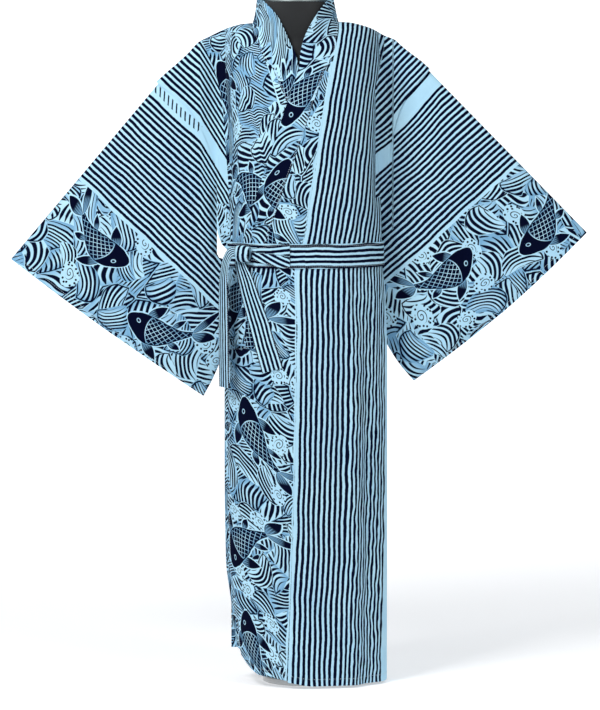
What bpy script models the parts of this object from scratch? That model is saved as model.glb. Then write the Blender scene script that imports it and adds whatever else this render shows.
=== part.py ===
"""Cotton yukata robe, wrapped left over right and belted, on a limbless dress form.

Metres, +Z up, origin on the floor under the form. The wearer faces -Y and the
wearer's left is +X. Each cloth piece is a thin wall laid over one trunk surface,
so pieces that overlap are the same surface at different lifts.
"""
import math

import bmesh
import bpy
import numpy as np

for leftover in list(bpy.data.objects):
    bpy.data.objects.remove(leftover, do_unlink=True)

# ------------------------------------------------------------------ cloth sizes
WALL = 0.0018                 # one thickness of the cotton
LAYER = 0.0034                # a wall and the air under the next one
SEAM = 0.0004                 # gap between two pieces sewn edge to edge
HEM = 0.006                   # hem above the floor
ARMHOLE_END = 1.10            # lower end of the armhole seam
ARM_LOWEST = 0.980            # height under which nothing swings back to the sleeves
ARM_SET_BACK = 0.050          # sleeves hang this far behind the trunk's middle
SLEEVE_HOLLOW = 0.0085        # half the space between a sleeve's two layers
SHOULDER_ROUND = 0.090        # drop over which the trunk rounds off at the shoulder
FOLD_ROUND = 0.012            # the same for the empty shoulder cloth
COLLAR_WIDTH = 0.055
COLLAR_WALL = 0.0020
COLLAR_END = 0.740            # height of the collar's two lower ends
ARM_BEGIN = 0.130             # distance from the middle where the cloth leaves the trunk
ARM_BLEND = 0.060             # width over which it swings back to the sleeves' plane
NECK_BLEND_FROM = 1.300       # height where the back seam starts moving over to the neck
NECK_BLEND_RUN = 0.100

# Trunk, inside the cloth: its middle, its reach to each side, front and back.
TRUNK_COLUMNS = ("height", "middle", "minus_side", "plus_side", "front", "back")
TRUNK_ROWS = (
    (0.000, 0.005, 0.126, 0.1755, 0.120, 0.122),
    (0.060, 0.005, 0.143, 0.1755, 0.120, 0.122),
    (0.093, 0.005, 0.150, 0.1755, 0.120, 0.122),
    (0.185, 0.005, 0.162, 0.1755, 0.120, 0.122),
    (0.267, 0.005, 0.172, 0.1755, 0.120, 0.121),
    (0.450, 0.005, 0.1745, 0.1755, 0.119, 0.120),
    (0.700, 0.005, 0.1745, 0.1755, 0.116, 0.117),
    (0.850, 0.005, 0.170, 0.171, 0.109, 0.108),
    (0.939, 0.005, 0.1605, 0.1625, 0.101, 0.098),
    (1.020, 0.004, 0.163, 0.164, 0.106, 0.101),
    (1.100, 0.002, 0.163, 0.163, 0.113, 0.104),
    (1.200, 0.000, 0.163, 0.162, 0.118, 0.107),
    (1.300, -0.002, 0.163, 0.163, 0.108, 0.105),
    (1.380, -0.002, 0.165, 0.165, 0.095, 0.098),
    (1.450, -0.002, 0.165, 0.165, 0.085, 0.092),
)

# Top line of the shoulders, inside the cloth.
RIDGE_COLUMNS = ("across", "height")
RIDGE_ROWS = (
    (-0.380, 1.2450), (-0.330, 1.2975), (-0.300, 1.3255), (-0.268, 1.3530),
    (-0.2245, 1.3920), (-0.192, 1.4120), (-0.159, 1.4265), (-0.126, 1.4345),
    (0.000, 1.440), (0.074, 1.4385),
    (0.1025, 1.437), (0.124, 1.432), (0.146, 1.425), (0.177, 1.408),
    (0.196, 1.3985), (0.214, 1.385), (0.235, 1.369), (0.262, 1.348),
    (0.380, 1.2272),
)

# Armhole seam and the web of cloth under it: distance from the middle plane.
ARMHOLE_COLUMNS = ("height", "plus", "minus")
ARMHOLE_ROWS = (
    (0.960, 0.150, 0.157), (1.000, 0.155, 0.1775), (1.045, 0.160, 0.1840), (1.100, 0.184, 0.1875),
    (1.170, 0.192, 0.206), (1.244, 0.210, 0.244), (1.309, 0.252, 0.3195),
    (1.337, 0.277, 0.352), (1.450, 0.400, 0.480),
)

# Inner edge of each body front: the straight seam to the overlap and the collar.
FRONT_EDGE_COLUMNS = ("height", "left", "right")
FRONT_EDGE_ROWS = (
    (0.000, -0.0327, 0.043), (0.616, -0.0150, 0.025), (0.900, -0.0130, 0.023),
    (0.965, 0.0000, 0.010), (1.270, 0.0480, -0.054), (1.350, 0.0620, -0.078),
    (1.434, 0.0775, -0.1105), (1.450, 0.0775, -0.1105),
)

# Back neckline: distance from the middle of the neck.
BACK_NECK_COLUMNS = ("height", "reach")
BACK_NECK_ROWS = ((1.397, 0.0), (1.406, 0.034), (1.4165, 0.060), (1.4275, 0.083), (1.437, 0.094))
NECK_MIDDLE = -0.0165

# Free edge of each front, as an angle round the trunk from its middle front.
FREE_EDGE_COLUMNS = ("height", "left", "right")
FREE_EDGE_ROWS = (
    (0.000, -70.0, 66.0), (0.800, -70.0, 66.0), (0.913, -68.0, 62.0),
    (0.965, -55.0, 53.0), (1.096, -34.0, 32.0), (1.227, -16.3, 14.0),
    (1.340, -2.3, -2.3),
)

# The hem rises towards the corner of the overlap.
HEM_RISE_COLUMNS = ("angle", "rise")
HEM_RISE_ROWS = (
    (-180.0, 0.0), (-150.0, 0.010), (-110.0, 0.046), (-84.0, 0.058),
    (-70.0, 0.052), (-62.0, 0.038), (-46.0, 0.024), (-31.0, 0.020),
    (-20.0, 0.013), (-8.0, 0.006), (6.0, 0.0), (180.0, 0.0),
)

# Large soft folds: a ridge (+) or trough (-) lying up the cloth.
FOLD_COLUMNS = ("angle", "lower", "upper", "half_width", "lift")
FOLD_ROWS = (
    (58.0, 0.00, 0.84, 11.0, 0.0040), (78.0, 0.00, 0.70, 9.0, -0.0030),
    (30.0, 0.00, 0.50, 13.0, 0.0030), (-48.0, 0.12, 0.62, 14.0, 0.0030),
    (112.0, 0.00, 0.80, 13.0, 0.0045), (140.0, 0.00, 0.86, 14.0, -0.0025),
    (165.0, 0.00, 0.72, 12.0, 0.0035), (-125.0, 0.00, 0.82, 14.0, 0.0045),
    (-152.0, 0.00, 0.76, 12.0, -0.0025), (48.0, 1.00, 1.28, 11.0, 0.0030),
    (150.0, 1.00, 1.32, 16.0, 0.0030), (-148.0, 1.00, 1.34, 16.0, 0.0030),
)

# Upright tucks where the spare shoulder cloth falls over towards the sleeve.
TUCK_COLUMNS = ("across", "lower", "upper", "half_width", "lift")
TUCK_ROWS = ((0.196, 1.185, 1.425, 0.015, 0.0060), (-0.222, 1.215, 1.425, 0.015, 0.0060))


def table(columns, rows):
    """The rows of a table as one array for each named column."""
    return dict(zip(columns, np.array(rows, dtype=float).T))


TRUNK = table(TRUNK_COLUMNS, TRUNK_ROWS)
RIDGE = table(RIDGE_COLUMNS, RIDGE_ROWS)
ARMHOLE = table(ARMHOLE_COLUMNS, ARMHOLE_ROWS)
FRONT_EDGE = table(FRONT_EDGE_COLUMNS, FRONT_EDGE_ROWS)
BACK_NECK = table(BACK_NECK_COLUMNS, BACK_NECK_ROWS)
FREE_EDGE = table(FREE_EDGE_COLUMNS, FREE_EDGE_ROWS)
HEM_RISE = table(HEM_RISE_COLUMNS, HEM_RISE_ROWS)
FOLDS = table(FOLD_COLUMNS, FOLD_ROWS)
TUCKS = table(TUCK_COLUMNS, TUCK_ROWS)


# ------------------------------------------------------------------ shape rules
def smoothstep(value):
    value = min(max(value, 0.0), 1.0)
    return value * value * (3.0 - 2.0 * value)


def read(source, key, name, value):
    """A smooth curve through one column of a table (monotone cubic)."""
    xs = source[key]
    ys = source[name]
    if value <= xs[0]:
        return float(ys[0])
    if value >= xs[-1]:
        return float(ys[-1])
    steps = np.diff(xs)
    slopes = np.diff(ys) / steps
    tangents = np.zeros(len(xs))
    tangents[0] = slopes[0]
    tangents[-1] = slopes[-1]
    for index in range(1, len(xs) - 1):
        before = slopes[index - 1]
        after = slopes[index]
        if before * after > 0.0:
            tangents[index] = 2.0 * before * after / (before + after)
    place = int(np.searchsorted(xs, value)) - 1
    width = steps[place]
    t = (value - xs[place]) / width
    start = (1 + 2 * t) * (1 - t) ** 2 * ys[place]
    start += t * (1 - t) ** 2 * width * tangents[place]
    end = t * t * (3 - 2 * t) * ys[place + 1]
    end += t * t * (t - 1) * width * tangents[place + 1]
    return float(start + end)


def trunk(name, height):
    return read(TRUNK, "height", name, height)


def ridge(across):
    return read(RIDGE, "across", "height", across)


def trunk_reach(side, height):
    """Half width of the trunk on one side (+1 or -1)."""
    return trunk("plus_side" if side > 0 else "minus_side", height)


def arm_shift(across, height):
    """How far back the cloth lies beyond the trunk's sides."""
    outward = smoothstep((abs(across) - ARM_BEGIN) / ARM_BLEND)
    upward = smoothstep((height - ARM_LOWEST) / (ARMHOLE_END - ARM_LOWEST))
    return ARM_SET_BACK * outward * upward


def round_over(share):
    """A quarter circle from 0 at the fold to 1."""
    share = min(max(share, 0.0), 1.0)
    return math.sqrt(share * (2.0 - share))


def layer_gap(height):
    """Half the space between the two layers beside the trunk."""
    opening = smoothstep((height - (ARMHOLE_END - 0.050)) / 0.050)
    return SEAM + (SLEEVE_HOLLOW - SEAM) * opening


def cloth_at(face, across, depth, height):
    """A point of the trunk surface, front (face -1) or back (face +1)."""
    drop = ridge(across) - height
    body = depth * round_over(drop / SHOULDER_ROUND)
    empty = layer_gap(height) * round_over(drop / FOLD_ROUND)
    return (across, arm_shift(across, height) + face * math.hypot(body, empty), height)


def trunk_point(angle, height):
    """The trunk surface by the angle from its middle front, + towards +X."""
    turn = math.radians(angle)
    side = 1 if math.sin(turn) >= 0 else -1
    face = -1 if math.cos(turn) >= 0 else 1
    across = trunk("middle", height) + trunk_reach(side, height) * math.sin(turn)
    depth = trunk("front" if face < 0 else "back", height) * abs(math.cos(turn))
    return cloth_at(face, across, depth, height)


def angle_at(across, height):
    """The angle of a front point from its place across."""
    offset = across - trunk("middle", height)
    side = 1 if offset >= 0 else -1
    sine = offset / trunk_reach(side, height)
    return math.degrees(math.asin(min(max(sine, -1.0), 1.0)))


def angle_beyond(angle, height, distance):
    """The angle that lies a distance along the cloth from another one."""
    steps = 16
    for _ in range(steps):
        turn = math.radians(angle)
        side = 1 if math.sin(turn) >= 0 else -1
        reach = trunk_reach(side, height) * math.cos(turn)
        depth = trunk("front", height) * math.sin(turn)
        angle += math.degrees(distance / steps / math.hypot(reach, depth))
    return angle


def hem_height(angle):
    wrapped = (angle + 180.0) % 360.0 - 180.0
    return HEM + read(HEM_RISE, "angle", "rise", wrapped)


def fold_lift(point):
    """Height of the soft folds at a point of the trunk."""
    across, depth, height = point
    offset = across - trunk("middle", height)
    side = 1 if offset >= 0 else -1
    reach = trunk_reach(side, height)
    span = trunk("front" if depth < 0 else "back", height)
    angle = math.degrees(math.atan2(offset / reach, -depth / span))
    total = 0.0
    for index in range(len(FOLDS["angle"])):
        away = (angle - FOLDS["angle"][index] + 180.0) % 360.0 - 180.0
        spread = math.exp(-((away / FOLDS["half_width"][index]) ** 2))
        low = FOLDS["lower"][index]
        high = FOLDS["upper"][index]
        middle = (low + high) / 2.0
        rise = max(0.0, 1.0 - ((height - middle) / ((high - low) / 2.0)) ** 2)
        if low == 0.0 and height < middle:
            rise = 1.0
        total += FOLDS["lift"][index] * spread * rise
    return total


def tuck_lift(point):
    """Height of the upright tucks at a point of the shoulder cloth."""
    total = 0.0
    for index in range(len(TUCKS["across"])):
        away = (point[0] - TUCKS["across"][index]) / TUCKS["half_width"][index]
        low = TUCKS["lower"][index]
        high = TUCKS["upper"][index]
        middle = (low + high) / 2.0
        rise = max(0.0, 1.0 - ((point[2] - middle) / ((high - low) / 2.0)) ** 2)
        total += TUCKS["lift"][index] * math.exp(-away * away) * rise
    return total


# ------------------------------------------------------------------ solids
def cloth_normals(grid, closed, around_trunk):
    """Unit normals of a grid of points, away from the trunk or from the ring's middle."""
    if closed:
        along = np.roll(grid, -1, axis=1) - np.roll(grid, 1, axis=1)
    else:
        along = np.gradient(grid, axis=1)
    normals = np.cross(along, np.gradient(grid, axis=0))
    normals /= np.linalg.norm(normals, axis=2)[:, :, None]
    middle = np.zeros(3) if around_trunk else grid.mean(axis=1, keepdims=True)
    away = (grid - middle) * (1.0, 1.0, 0.0 if around_trunk else 1.0)
    return normals * np.sign(np.sum(normals * away))


def wall_solid(name, material, grid, lift, wall=WALL, closed=False, around_trunk=True):
    """A closed wall on a grid: its inner face is lifted off the grid's points."""
    grid = np.array(grid, dtype=float)
    normals = cloth_normals(grid, closed, around_trunk)
    lift = np.broadcast_to(np.array(lift, dtype=float), grid.shape[:2])
    inner = grid + normals * lift[:, :, None]
    outer = inner + normals * wall
    rows, columns = grid.shape[:2]
    shape = bmesh.new()
    inside = [[shape.verts.new(p) for p in row] for row in inner]
    outside = [[shape.verts.new(p) for p in row] for row in outer]
    last = columns if closed else columns - 1
    for r in range(rows - 1):
        for c in range(last):
            d = (c + 1) % columns
            shape.faces.new((outside[r][c], outside[r][d], outside[r + 1][d], outside[r + 1][c]))
            shape.faces.new((inside[r][c], inside[r + 1][c], inside[r + 1][d], inside[r][d]))
    for c in range(last):
        d = (c + 1) % columns
        shape.faces.new((outside[0][c], inside[0][c], inside[0][d], outside[0][d]))
        shape.faces.new((outside[-1][c], outside[-1][d], inside[-1][d], inside[-1][c]))
    if not closed:
        for r in range(rows - 1):
            shape.faces.new((outside[r][0], outside[r + 1][0], inside[r + 1][0], inside[r][0]))
            shape.faces.new((outside[r][-1], inside[r][-1], inside[r + 1][-1], outside[r + 1][-1]))
    bmesh.ops.triangulate(shape, faces=shape.faces[:], quad_method="FIXED")
    bmesh.ops.recalc_face_normals(shape, faces=shape.faces[:])
    return add_object(name, material, shape)


def ring_solid(name, material, rings):
    """A closed solid through rings of equal point counts, flat at both ends."""
    shape = bmesh.new()
    levels = [[shape.verts.new(p) for p in ring] for ring in rings]
    count = len(levels[0])
    for lower, upper in zip(levels, levels[1:]):
        for i in range(count):
            j = (i + 1) % count
            shape.faces.new((lower[i], lower[j], upper[j], upper[i]))
    shape.faces.new(levels[0][::-1])
    shape.faces.new(levels[-1])
    bmesh.ops.triangulate(shape, faces=shape.faces[:])
    bmesh.ops.recalc_face_normals(shape, faces=shape.faces[:])
    return add_object(name, material, shape)


def add_object(name, material, shape):
    mesh = bpy.data.meshes.new(name)
    shape.to_mesh(mesh)
    shape.free()
    mesh.materials.append(material)
    mesh.shade_smooth()
    mesh.set_sharp_from_angle(angle=math.radians(50))
    part = bpy.data.objects.new(name, mesh)
    bpy.context.collection.objects.link(part)
    return part


def plain_material(name, colour, roughness, metallic=0.0):
    material = bpy.data.materials.new(name)
    material.use_nodes = True
    shader = material.node_tree.nodes["Principled BSDF"]
    shader.inputs["Base Color"].default_value = (*colour, 1.0)
    shader.inputs["Roughness"].default_value = roughness
    shader.inputs["Metallic"].default_value = metallic
    return material


def cotton(name, colour):
    return plain_material(name, colour, 0.85)


# ------------------------------------------------------------------ body widths
# One strip on each side: front hem, shoulder, back hem. Below the armhole its
# two outer edges meet at the side seam, above it they open into the armhole.
BODY_COLUMNS = 14
LOWER_HEIGHTS = (0.0, 0.06, 0.14, 0.24, 0.37, 0.52, 0.66, 0.79, 0.86,
                 0.911, 0.938, 0.965, 1.01, 1.055, 1.10)
UPPER_STEPS = (0.94, 0.85, 0.74, 0.62, 0.51, 0.42, 0.335, 0.25, 0.17, 0.09)


def settle(height, angle):
    """A height up the cloth, raised near the hem as the hem rises."""
    return height + hem_height(angle) * max(0.0, 1.0 - height / 0.60)


def inner_edge(side, face, height):
    """Where a body strip's inner edge lies across."""
    name = "left" if side > 0 else "right"
    if face < 0:
        return read(FRONT_EDGE, "height", name, height) + side * SEAM / 2
    reach = read(BACK_NECK, "height", "reach", height)
    share = smoothstep((height - NECK_BLEND_FROM) / NECK_BLEND_RUN)
    middle = trunk("middle", height) * (1.0 - share) + NECK_MIDDLE * share
    return middle + side * (reach + SEAM / 2)


def strip_position(side, face, height, share):
    """Across and depth of a share of the strip's width at one height."""
    middle = trunk("middle", height)
    reach = trunk_reach(side, height)
    depth = trunk("front" if face < 0 else "back", height)
    sine = (inner_edge(side, face, height) - middle) * side / reach
    angles = np.linspace(math.asin(min(max(sine, -1.0), 1.0)), math.pi / 2, 40)
    steps = np.hypot(np.diff(reach * np.sin(angles)), np.diff(depth * np.cos(angles)))
    lengths = np.concatenate(([0.0], np.cumsum(steps)))
    seam = read(ARMHOLE, "height", "plus" if side > 0 else "minus", height)
    web = max(0.0, seam - (middle * side + reach))
    place = share * (lengths[-1] + web)
    if place <= lengths[-1]:
        angle = float(np.interp(place, lengths, angles))
        return middle + side * reach * math.sin(angle), depth * math.cos(angle)
    return middle + side * (reach + place - lengths[-1]), 0.0


def ridge_position(side, face, share):
    """Where a column of the strip crosses the shoulder's top line."""
    near = 0.0
    far = RIDGE["across"][-1]
    for _ in range(30):
        reach = (near + far) / 2
        across = strip_position(side, face, ridge(side * reach), share)[0]
        if side * across > reach:
            near = reach
        else:
            far = reach
    return side * (near + far) / 2


def strip_angle(side, face, height, share):
    across, depth = strip_position(side, face, height, share)
    sideways = (across - trunk("middle", height)) / trunk_reach(side, height)
    forward = -face * depth / trunk("front" if face < 0 else "back", height)
    return math.degrees(math.atan2(sideways, forward))


def strip_column(side, face, share):
    """Points of one column from the hem to just under the shoulder line."""
    points = []
    for level in LOWER_HEIGHTS:
        height = settle(level, strip_angle(side, face, level, share))
        across, depth = strip_position(side, face, height, share)
        points.append(cloth_at(face, across, depth, height))
    top = ridge(ridge_position(side, face, share))
    for step in UPPER_STEPS:
        height = top - (top - ARMHOLE_END) * step * step
        across, depth = strip_position(side, face, height, share)
        points.append(cloth_at(face, across, depth, height))
    return points


def body_grid(side):
    columns = []
    for index in range(BODY_COLUMNS):
        share = index / (BODY_COLUMNS - 1)
        front = strip_column(side, -1, share)
        back = strip_column(side, 1, share)
        crossing = (ridge_position(side, -1, share) + ridge_position(side, 1, share)) / 2
        top = (crossing, arm_shift(crossing, ridge(crossing)), ridge(crossing))
        columns.append(front + [top] + back[::-1])
    return [[column[row] for column in columns] for row in range(len(columns[0]))]


def over_lift(point):
    """The left front lies over the right one, below the neck and in front."""
    down = smoothstep((1.410 - point[2]) / 0.060)
    behind = point[1] - arm_shift(point[0], point[2])
    return LAYER * down * smoothstep((0.010 - behind) / 0.035)


def body_lift(side, grid):
    lift = []
    for row in grid:
        over = [over_lift(point) if side > 0 else 0.0 for point in row]
        lift.append([value + fold_lift(point) + tuck_lift(point)
                     for value, point in zip(over, row)])
    return lift


body_cloth = cotton("body_cotton", (0.20, 0.33, 0.52))
BODY_NAMES = {1: "body_left", -1: "body_right"}
for side in (1, -1):
    body = body_grid(side)
    wall_solid(BODY_NAMES[side], body_cloth, body, body_lift(side, body))


# ------------------------------------------------------------------ overlaps
# A tapering width sewn to each front's edge. The left one is outermost.
OVERLAP_COLUMNS = 9
OVERLAP_HEIGHTS = (0.0, 0.06, 0.14, 0.24, 0.37, 0.52, 0.66, 0.730, 0.7325, 0.735,
                    0.7375, 0.740, 0.79, 0.86, 0.911, 0.938, 0.965, 1.01, 1.055,
                   1.10, 1.15, 1.20, 1.245, 1.285, 1.320, 1.340, 1.348, 1.355)
FRONT_COLLAR_TOP = 1.340      # above it the collar leaves the front for the neck
NECK_SEAM_START = 1.362       # height where it first meets the body's edge


def free_edge(name, height):
    return read(FREE_EDGE, "height", name, height)


def collar_seam(name, height):
    """Angle of the collar's outer edge on a front."""
    inward = 1.0 if name == "left" else -1.0
    seam = angle_beyond(free_edge(name, height), height, inward * COLLAR_WIDTH)
    edge = angle_at(read(FRONT_EDGE, "height", name, height) - inward * SEAM, height)
    return min(seam, edge) if name == "left" else max(seam, edge)


def covered_edge(name, level):
    """Angle of the overlap's edge along the collar."""
    inward = 1.0 if name == "left" else -1.0
    gap = inward * math.degrees(2 * SEAM / 0.13)
    if level <= FRONT_COLLAR_TOP:
        return collar_seam(name, level) + gap
    below = collar_seam(name, FRONT_COLLAR_TOP)
    edge = read(FRONT_EDGE, "height", name, NECK_SEAM_START) - inward * SEAM
    above = angle_at(edge, NECK_SEAM_START)
    share = (level - FRONT_COLLAR_TOP) / (NECK_SEAM_START - FRONT_COLLAR_TOP)
    return below + (above - below) * share + 2 * gap


def overlap_row(name, level):
    """Across one overlap: its seam to the body, then its free or collar edge."""
    inward = 1.0 if name == "left" else -1.0
    seam = angle_at(read(FRONT_EDGE, "height", name, level) - inward * SEAM / 2, level)
    free = free_edge(name, level)
    covered = covered_edge(name, level)
    # Below the collar's end the edge runs out to the front's full width.
    share = smoothstep((level - (COLLAR_END - 0.010)) / 0.010)
    free += (covered - free) * share
    narrowest = seam - inward * (1.5 if level < FRONT_COLLAR_TOP else 0.9)
    free = min(free, narrowest) if name == "left" else max(free, narrowest)
    row = []
    for index in range(OVERLAP_COLUMNS):
        angle = seam + (free - seam) * index / (OVERLAP_COLUMNS - 1)
        row.append(trunk_point(angle, settle(level, angle)))
    return row


def overlap_grid(name):
    return [overlap_row(name, level) for level in OVERLAP_HEIGHTS]


overlap_cloth = cotton("overlap_cotton", (0.24, 0.38, 0.58))
for name, over in (("left", LAYER), ("right", 0.0)):
    overlap = overlap_grid(name)
    lifts = [[over + fold_lift(point) for point in row] for row in overlap]
    wall_solid("okumi_" + name, overlap_cloth, overlap, lifts)


# ------------------------------------------------------------------ collar
# A folded band: up the left front's edge, round the neck, down the right one.
COLLAR_HEIGHTS = (0.742, 0.790, 0.860, 0.911, 0.938, 0.965, 1.01, 1.055, 1.10, 1.15, 1.20,
                  1.245, 1.285, 1.320, 1.340)
COLLAR_SHARES = (0.0, 0.33, 0.67, 1.0)
NECK_SEAM_RISE = 0.0020       # the standing band starts this far above the back neckline

# From the crossing up round the neck: x, y and z of the band's top edge, then
# the face (front -1, back +1) and height where its other edge is sewn on.
NECK_LEFT_ROWS = (
    (-0.0065, -0.0990, 1.370, -1, 1.362),
    (0.0000, -0.0870, 1.400, -1, 1.392),
    (0.0120, -0.0745, 1.428, -1, 1.418),
    (0.0300, -0.0610, 1.458, -1, 1.432),
    (0.0500, -0.0400, 1.484, -1, 1.438),
    (0.0620, -0.0080, 1.497, 1, 1.4358),
    (0.0590, 0.0330, 1.500, 1, 1.4287),
    (0.0350, 0.0660, 1.496, 1, 1.4174),
)
NECK_BACK_ROWS = ((-0.0165, 0.0790, 1.486, 1, 1.4006),)
NECK_RIGHT_ROWS = (
    (-0.0150, -0.0960, 1.370, -1, 1.362),
    (-0.0270, -0.0860, 1.395, -1, 1.392),
    (-0.0400, -0.0730, 1.425, -1, 1.418),
    (-0.0560, -0.0590, 1.455, -1, 1.430),
    (-0.0850, -0.0330, 1.486, -1, 1.434),
    (-0.0970, -0.0050, 1.497, 1, 1.4313),
    (-0.0930, 0.0350, 1.500, 1, 1.4243),
    (-0.0690, 0.0670, 1.496, 1, 1.4131),
)


def collar_station(name, height):
    """Points across the band on one front, from its free edge to its seam."""
    free = free_edge(name, height)
    seam = collar_seam(name, height)
    row = []
    for share in COLLAR_SHARES:
        row.append(trunk_point(free + (seam - free) * share, height))
    return row


def neck_station(side, values):
    """Points across the standing band, from its top to its seam on the body."""
    top = np.array(values[:3])
    face, height = values[3:]
    inset = 1.5 * SEAM + COLLAR_WALL * smoothstep((height - 1.380) / 0.040)
    across = inner_edge(side, face, height) - side * inset
    share = (across - trunk("middle", height)) / trunk_reach(side, height)
    depth = trunk("front" if face < 0 else "back", height) * math.sqrt(1.0 - share * share)
    seam = np.array(cloth_at(face, across, depth, height))
    if face > 0:
        seam += np.array((0.0, 0.0, NECK_SEAM_RISE))
    return [tuple(top + (seam - top) * part) for part in COLLAR_SHARES]


def collar_grid():
    rows = [collar_station("left", height) for height in COLLAR_HEIGHTS]
    rows += [neck_station(1, values) for values in NECK_LEFT_ROWS]
    rows += [neck_station(1, values) for values in NECK_BACK_ROWS]
    rows += [neck_station(-1, values) for values in NECK_RIGHT_ROWS[::-1]]
    rows += [collar_station("right", height) for height in COLLAR_HEIGHTS[::-1]]
    return rows


def collar_lift(grid):
    """Over the right front on the left side, straight on the body elsewhere."""
    front_rows = len(COLLAR_HEIGHTS)
    left_rows = front_rows + len(NECK_LEFT_ROWS)
    lift = []
    for number, row in enumerate(grid):
        on_front = number < front_rows or number >= len(grid) - front_rows
        values = [over_lift(point) if number < left_rows else 0.0 for point in row]
        if on_front:
            values = [value + fold_lift(point) for value, point in zip(values, row)]
        lift.append(values)
    return lift


collar = collar_grid()
wall_solid("collar", cotton("collar_cotton", (0.16, 0.28, 0.47)), collar, collar_lift(collar),
           wall=COLLAR_WALL)


# ------------------------------------------------------------------ sleeves
# A straight width folded along its top: sewn to the armhole, shut below it, and
# open at the cuff down to the hand's width.
SLEEVE_LAYERS = (0.0, 0.015, 0.06, 0.15, 0.28, 0.35, 0.40, 0.50, 0.56, 0.70, 0.83, 0.93, 0.985, 1.0)
SLEEVE_SHARES = (0.0, 0.03, 0.08, 0.18, 0.30, 0.42, 0.54, 0.66, 0.78, 0.88, 0.955, 1.0)
ARMHOLE_GAP = 0.0018
CUFF_OPEN = 0.50              # share of the cuff edge that is open
SLEEVE_BEHIND = 0.006         # below the armhole the inner edge lies this far behind the trunk
SLEEVE_SIZES = {
    1: {"shoulder": (0.2775, 1.335), "cuff_top": (0.621, 0.981), "cuff_low": (0.243, 0.655),
        "inner_low": 0.758, "bow": -0.004, "cuff_bow": 0.012, "clear": 0.0016, "free": 0.0},
    -1: {"shoulder": (-0.3200, 1.3065), "cuff_top": (-0.639, 0.923), "cuff_low": (-0.218, 0.621),
         "inner_low": 0.785, "bow": -0.007, "cuff_bow": 0.005, "clear": 0.0096, "free": 0.188},
}


def sleeve_inner(side, height):
    """The sleeve's inner edge: the armhole, then free or a little way behind the trunk."""
    seam = read(ARMHOLE, "height", "plus" if side > 0 else "minus", height)
    beside = trunk("middle", height) * side + trunk_reach(side, height)
    above = max(seam, beside + SLEEVE_SIZES[side]["clear"]) + ARMHOLE_GAP
    free = SLEEVE_SIZES[side]["free"] * smoothstep((height - 0.880) / 0.050)
    below = max(beside - SLEEVE_BEHIND, free)
    return side * (below + (above - below) * smoothstep((height - 1.010) / 0.035))


def sleeve_point(side, share, down):
    """Middle-plane point: share out from the armhole, down from the top fold."""
    sizes = SLEEVE_SIZES[side]
    inset = 0.0045 + 0.991 * down
    height = sizes["shoulder"][1] + (sizes["inner_low"] - sizes["shoulder"][1]) * inset
    inner = np.array((sleeve_inner(side, height), height))
    cuff_top = np.array(sizes["cuff_top"])
    fall = np.array(sizes["cuff_low"]) - cuff_top
    outward = np.array((-side * fall[1], side * fall[0])) / np.linalg.norm(fall)
    cuff = cuff_top + fall * inset + outward * sizes["cuff_bow"] * math.sin(math.pi * inset)
    place = inner + (cuff - inner) * share
    bow = sizes["bow"] * math.sin(math.pi * share) * smoothstep((down - 0.7) / 0.3)
    return place[0] + side * bow, place[1] + bow


def sleeve_half_gap(side, share, down):
    """Half the hollow: round at the folds, shut at the sewn stretches."""
    sizes = SLEEVE_SIZES[side]
    round_fold = (1.0 - abs(2.0 * down - 1.0) ** 4) ** 0.25
    drop = sizes["shoulder"][1] - ARMHOLE_END
    armhole = drop / (sizes["shoulder"][1] - sizes["inner_low"])
    shut = smoothstep((0.08 - share) / 0.08) * smoothstep((down - armhole) / 0.08)
    shut += smoothstep((share - 0.93) / 0.07) * smoothstep((down - CUFF_OPEN) / 0.08)
    return SEAM / 2 + (SLEEVE_HOLLOW - SEAM / 2) * round_fold * (1.0 - 0.97 * shut)


def sleeve_grid(side):
    around = [(-1, down) for down in SLEEVE_LAYERS]
    around += [(1, down) for down in SLEEVE_LAYERS[-2:0:-1]]
    grid = []
    for share in SLEEVE_SHARES:
        ring = []
        for face, down in around:
            across, height = sleeve_point(side, share, down)
            gap = sleeve_half_gap(side, share, down)
            if down in (0.0, 1.0):
                gap = 0.0
            wave = 0.0025 * math.sin(9.0 * share + 5.0 * down) * share
            outward = smoothstep((abs(across) - ARM_BEGIN) / ARM_BLEND)
            back = ARM_SET_BACK * max(outward, 1.0 - smoothstep((height - 1.015) / 0.045))
            ring.append((across, back + wave + face * gap, height))
        grid.append(ring)
    return grid


sleeve_cloth = cotton("sleeve_cotton", (0.22, 0.36, 0.56))
for side, name in ((1, "sleeve_left"), (-1, "sleeve_right")):
    wall_solid(name, sleeve_cloth, sleeve_grid(side), 0.0, closed=True, around_trunk=False)


# ------------------------------------------------------------------ belt
# A long sash: once round the waist, a crossing end, the knot and two tails.
BELT_LOW = 0.911
BELT_HIGH = 0.965
BELT_WALL = 0.0022
BELT_FRONT_LIFT = 0.0064      # over both fronts
BELT_BACK_LIFT = 0.0028       # over the back
BELT_TURNS = 48
LAP_LIFT = BELT_FRONT_LIFT + BELT_WALL + 0.0009
KNOT_LIFT = LAP_LIFT + BELT_WALL + 0.0006
KNOT_ANGLE = -48.5
KNOT_HEIGHT = 0.942
KNOT_HALF_WIDTH = 0.0165
KNOT_HALF_DEPTH = 0.0110
# Rise from the knot's middle, and its width and depth there as shares.
KNOT_ROWS = (
    (-0.0175, 0.45, 0.45), (-0.0165, 0.70, 0.70), (-0.0110, 0.95, 0.90), (-0.0030, 1.00, 1.00),
    (0.0060, 0.96, 1.00), (0.0130, 0.84, 0.88), (0.0175, 0.62, 0.66), (0.0185, 0.40, 0.40),
)

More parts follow.
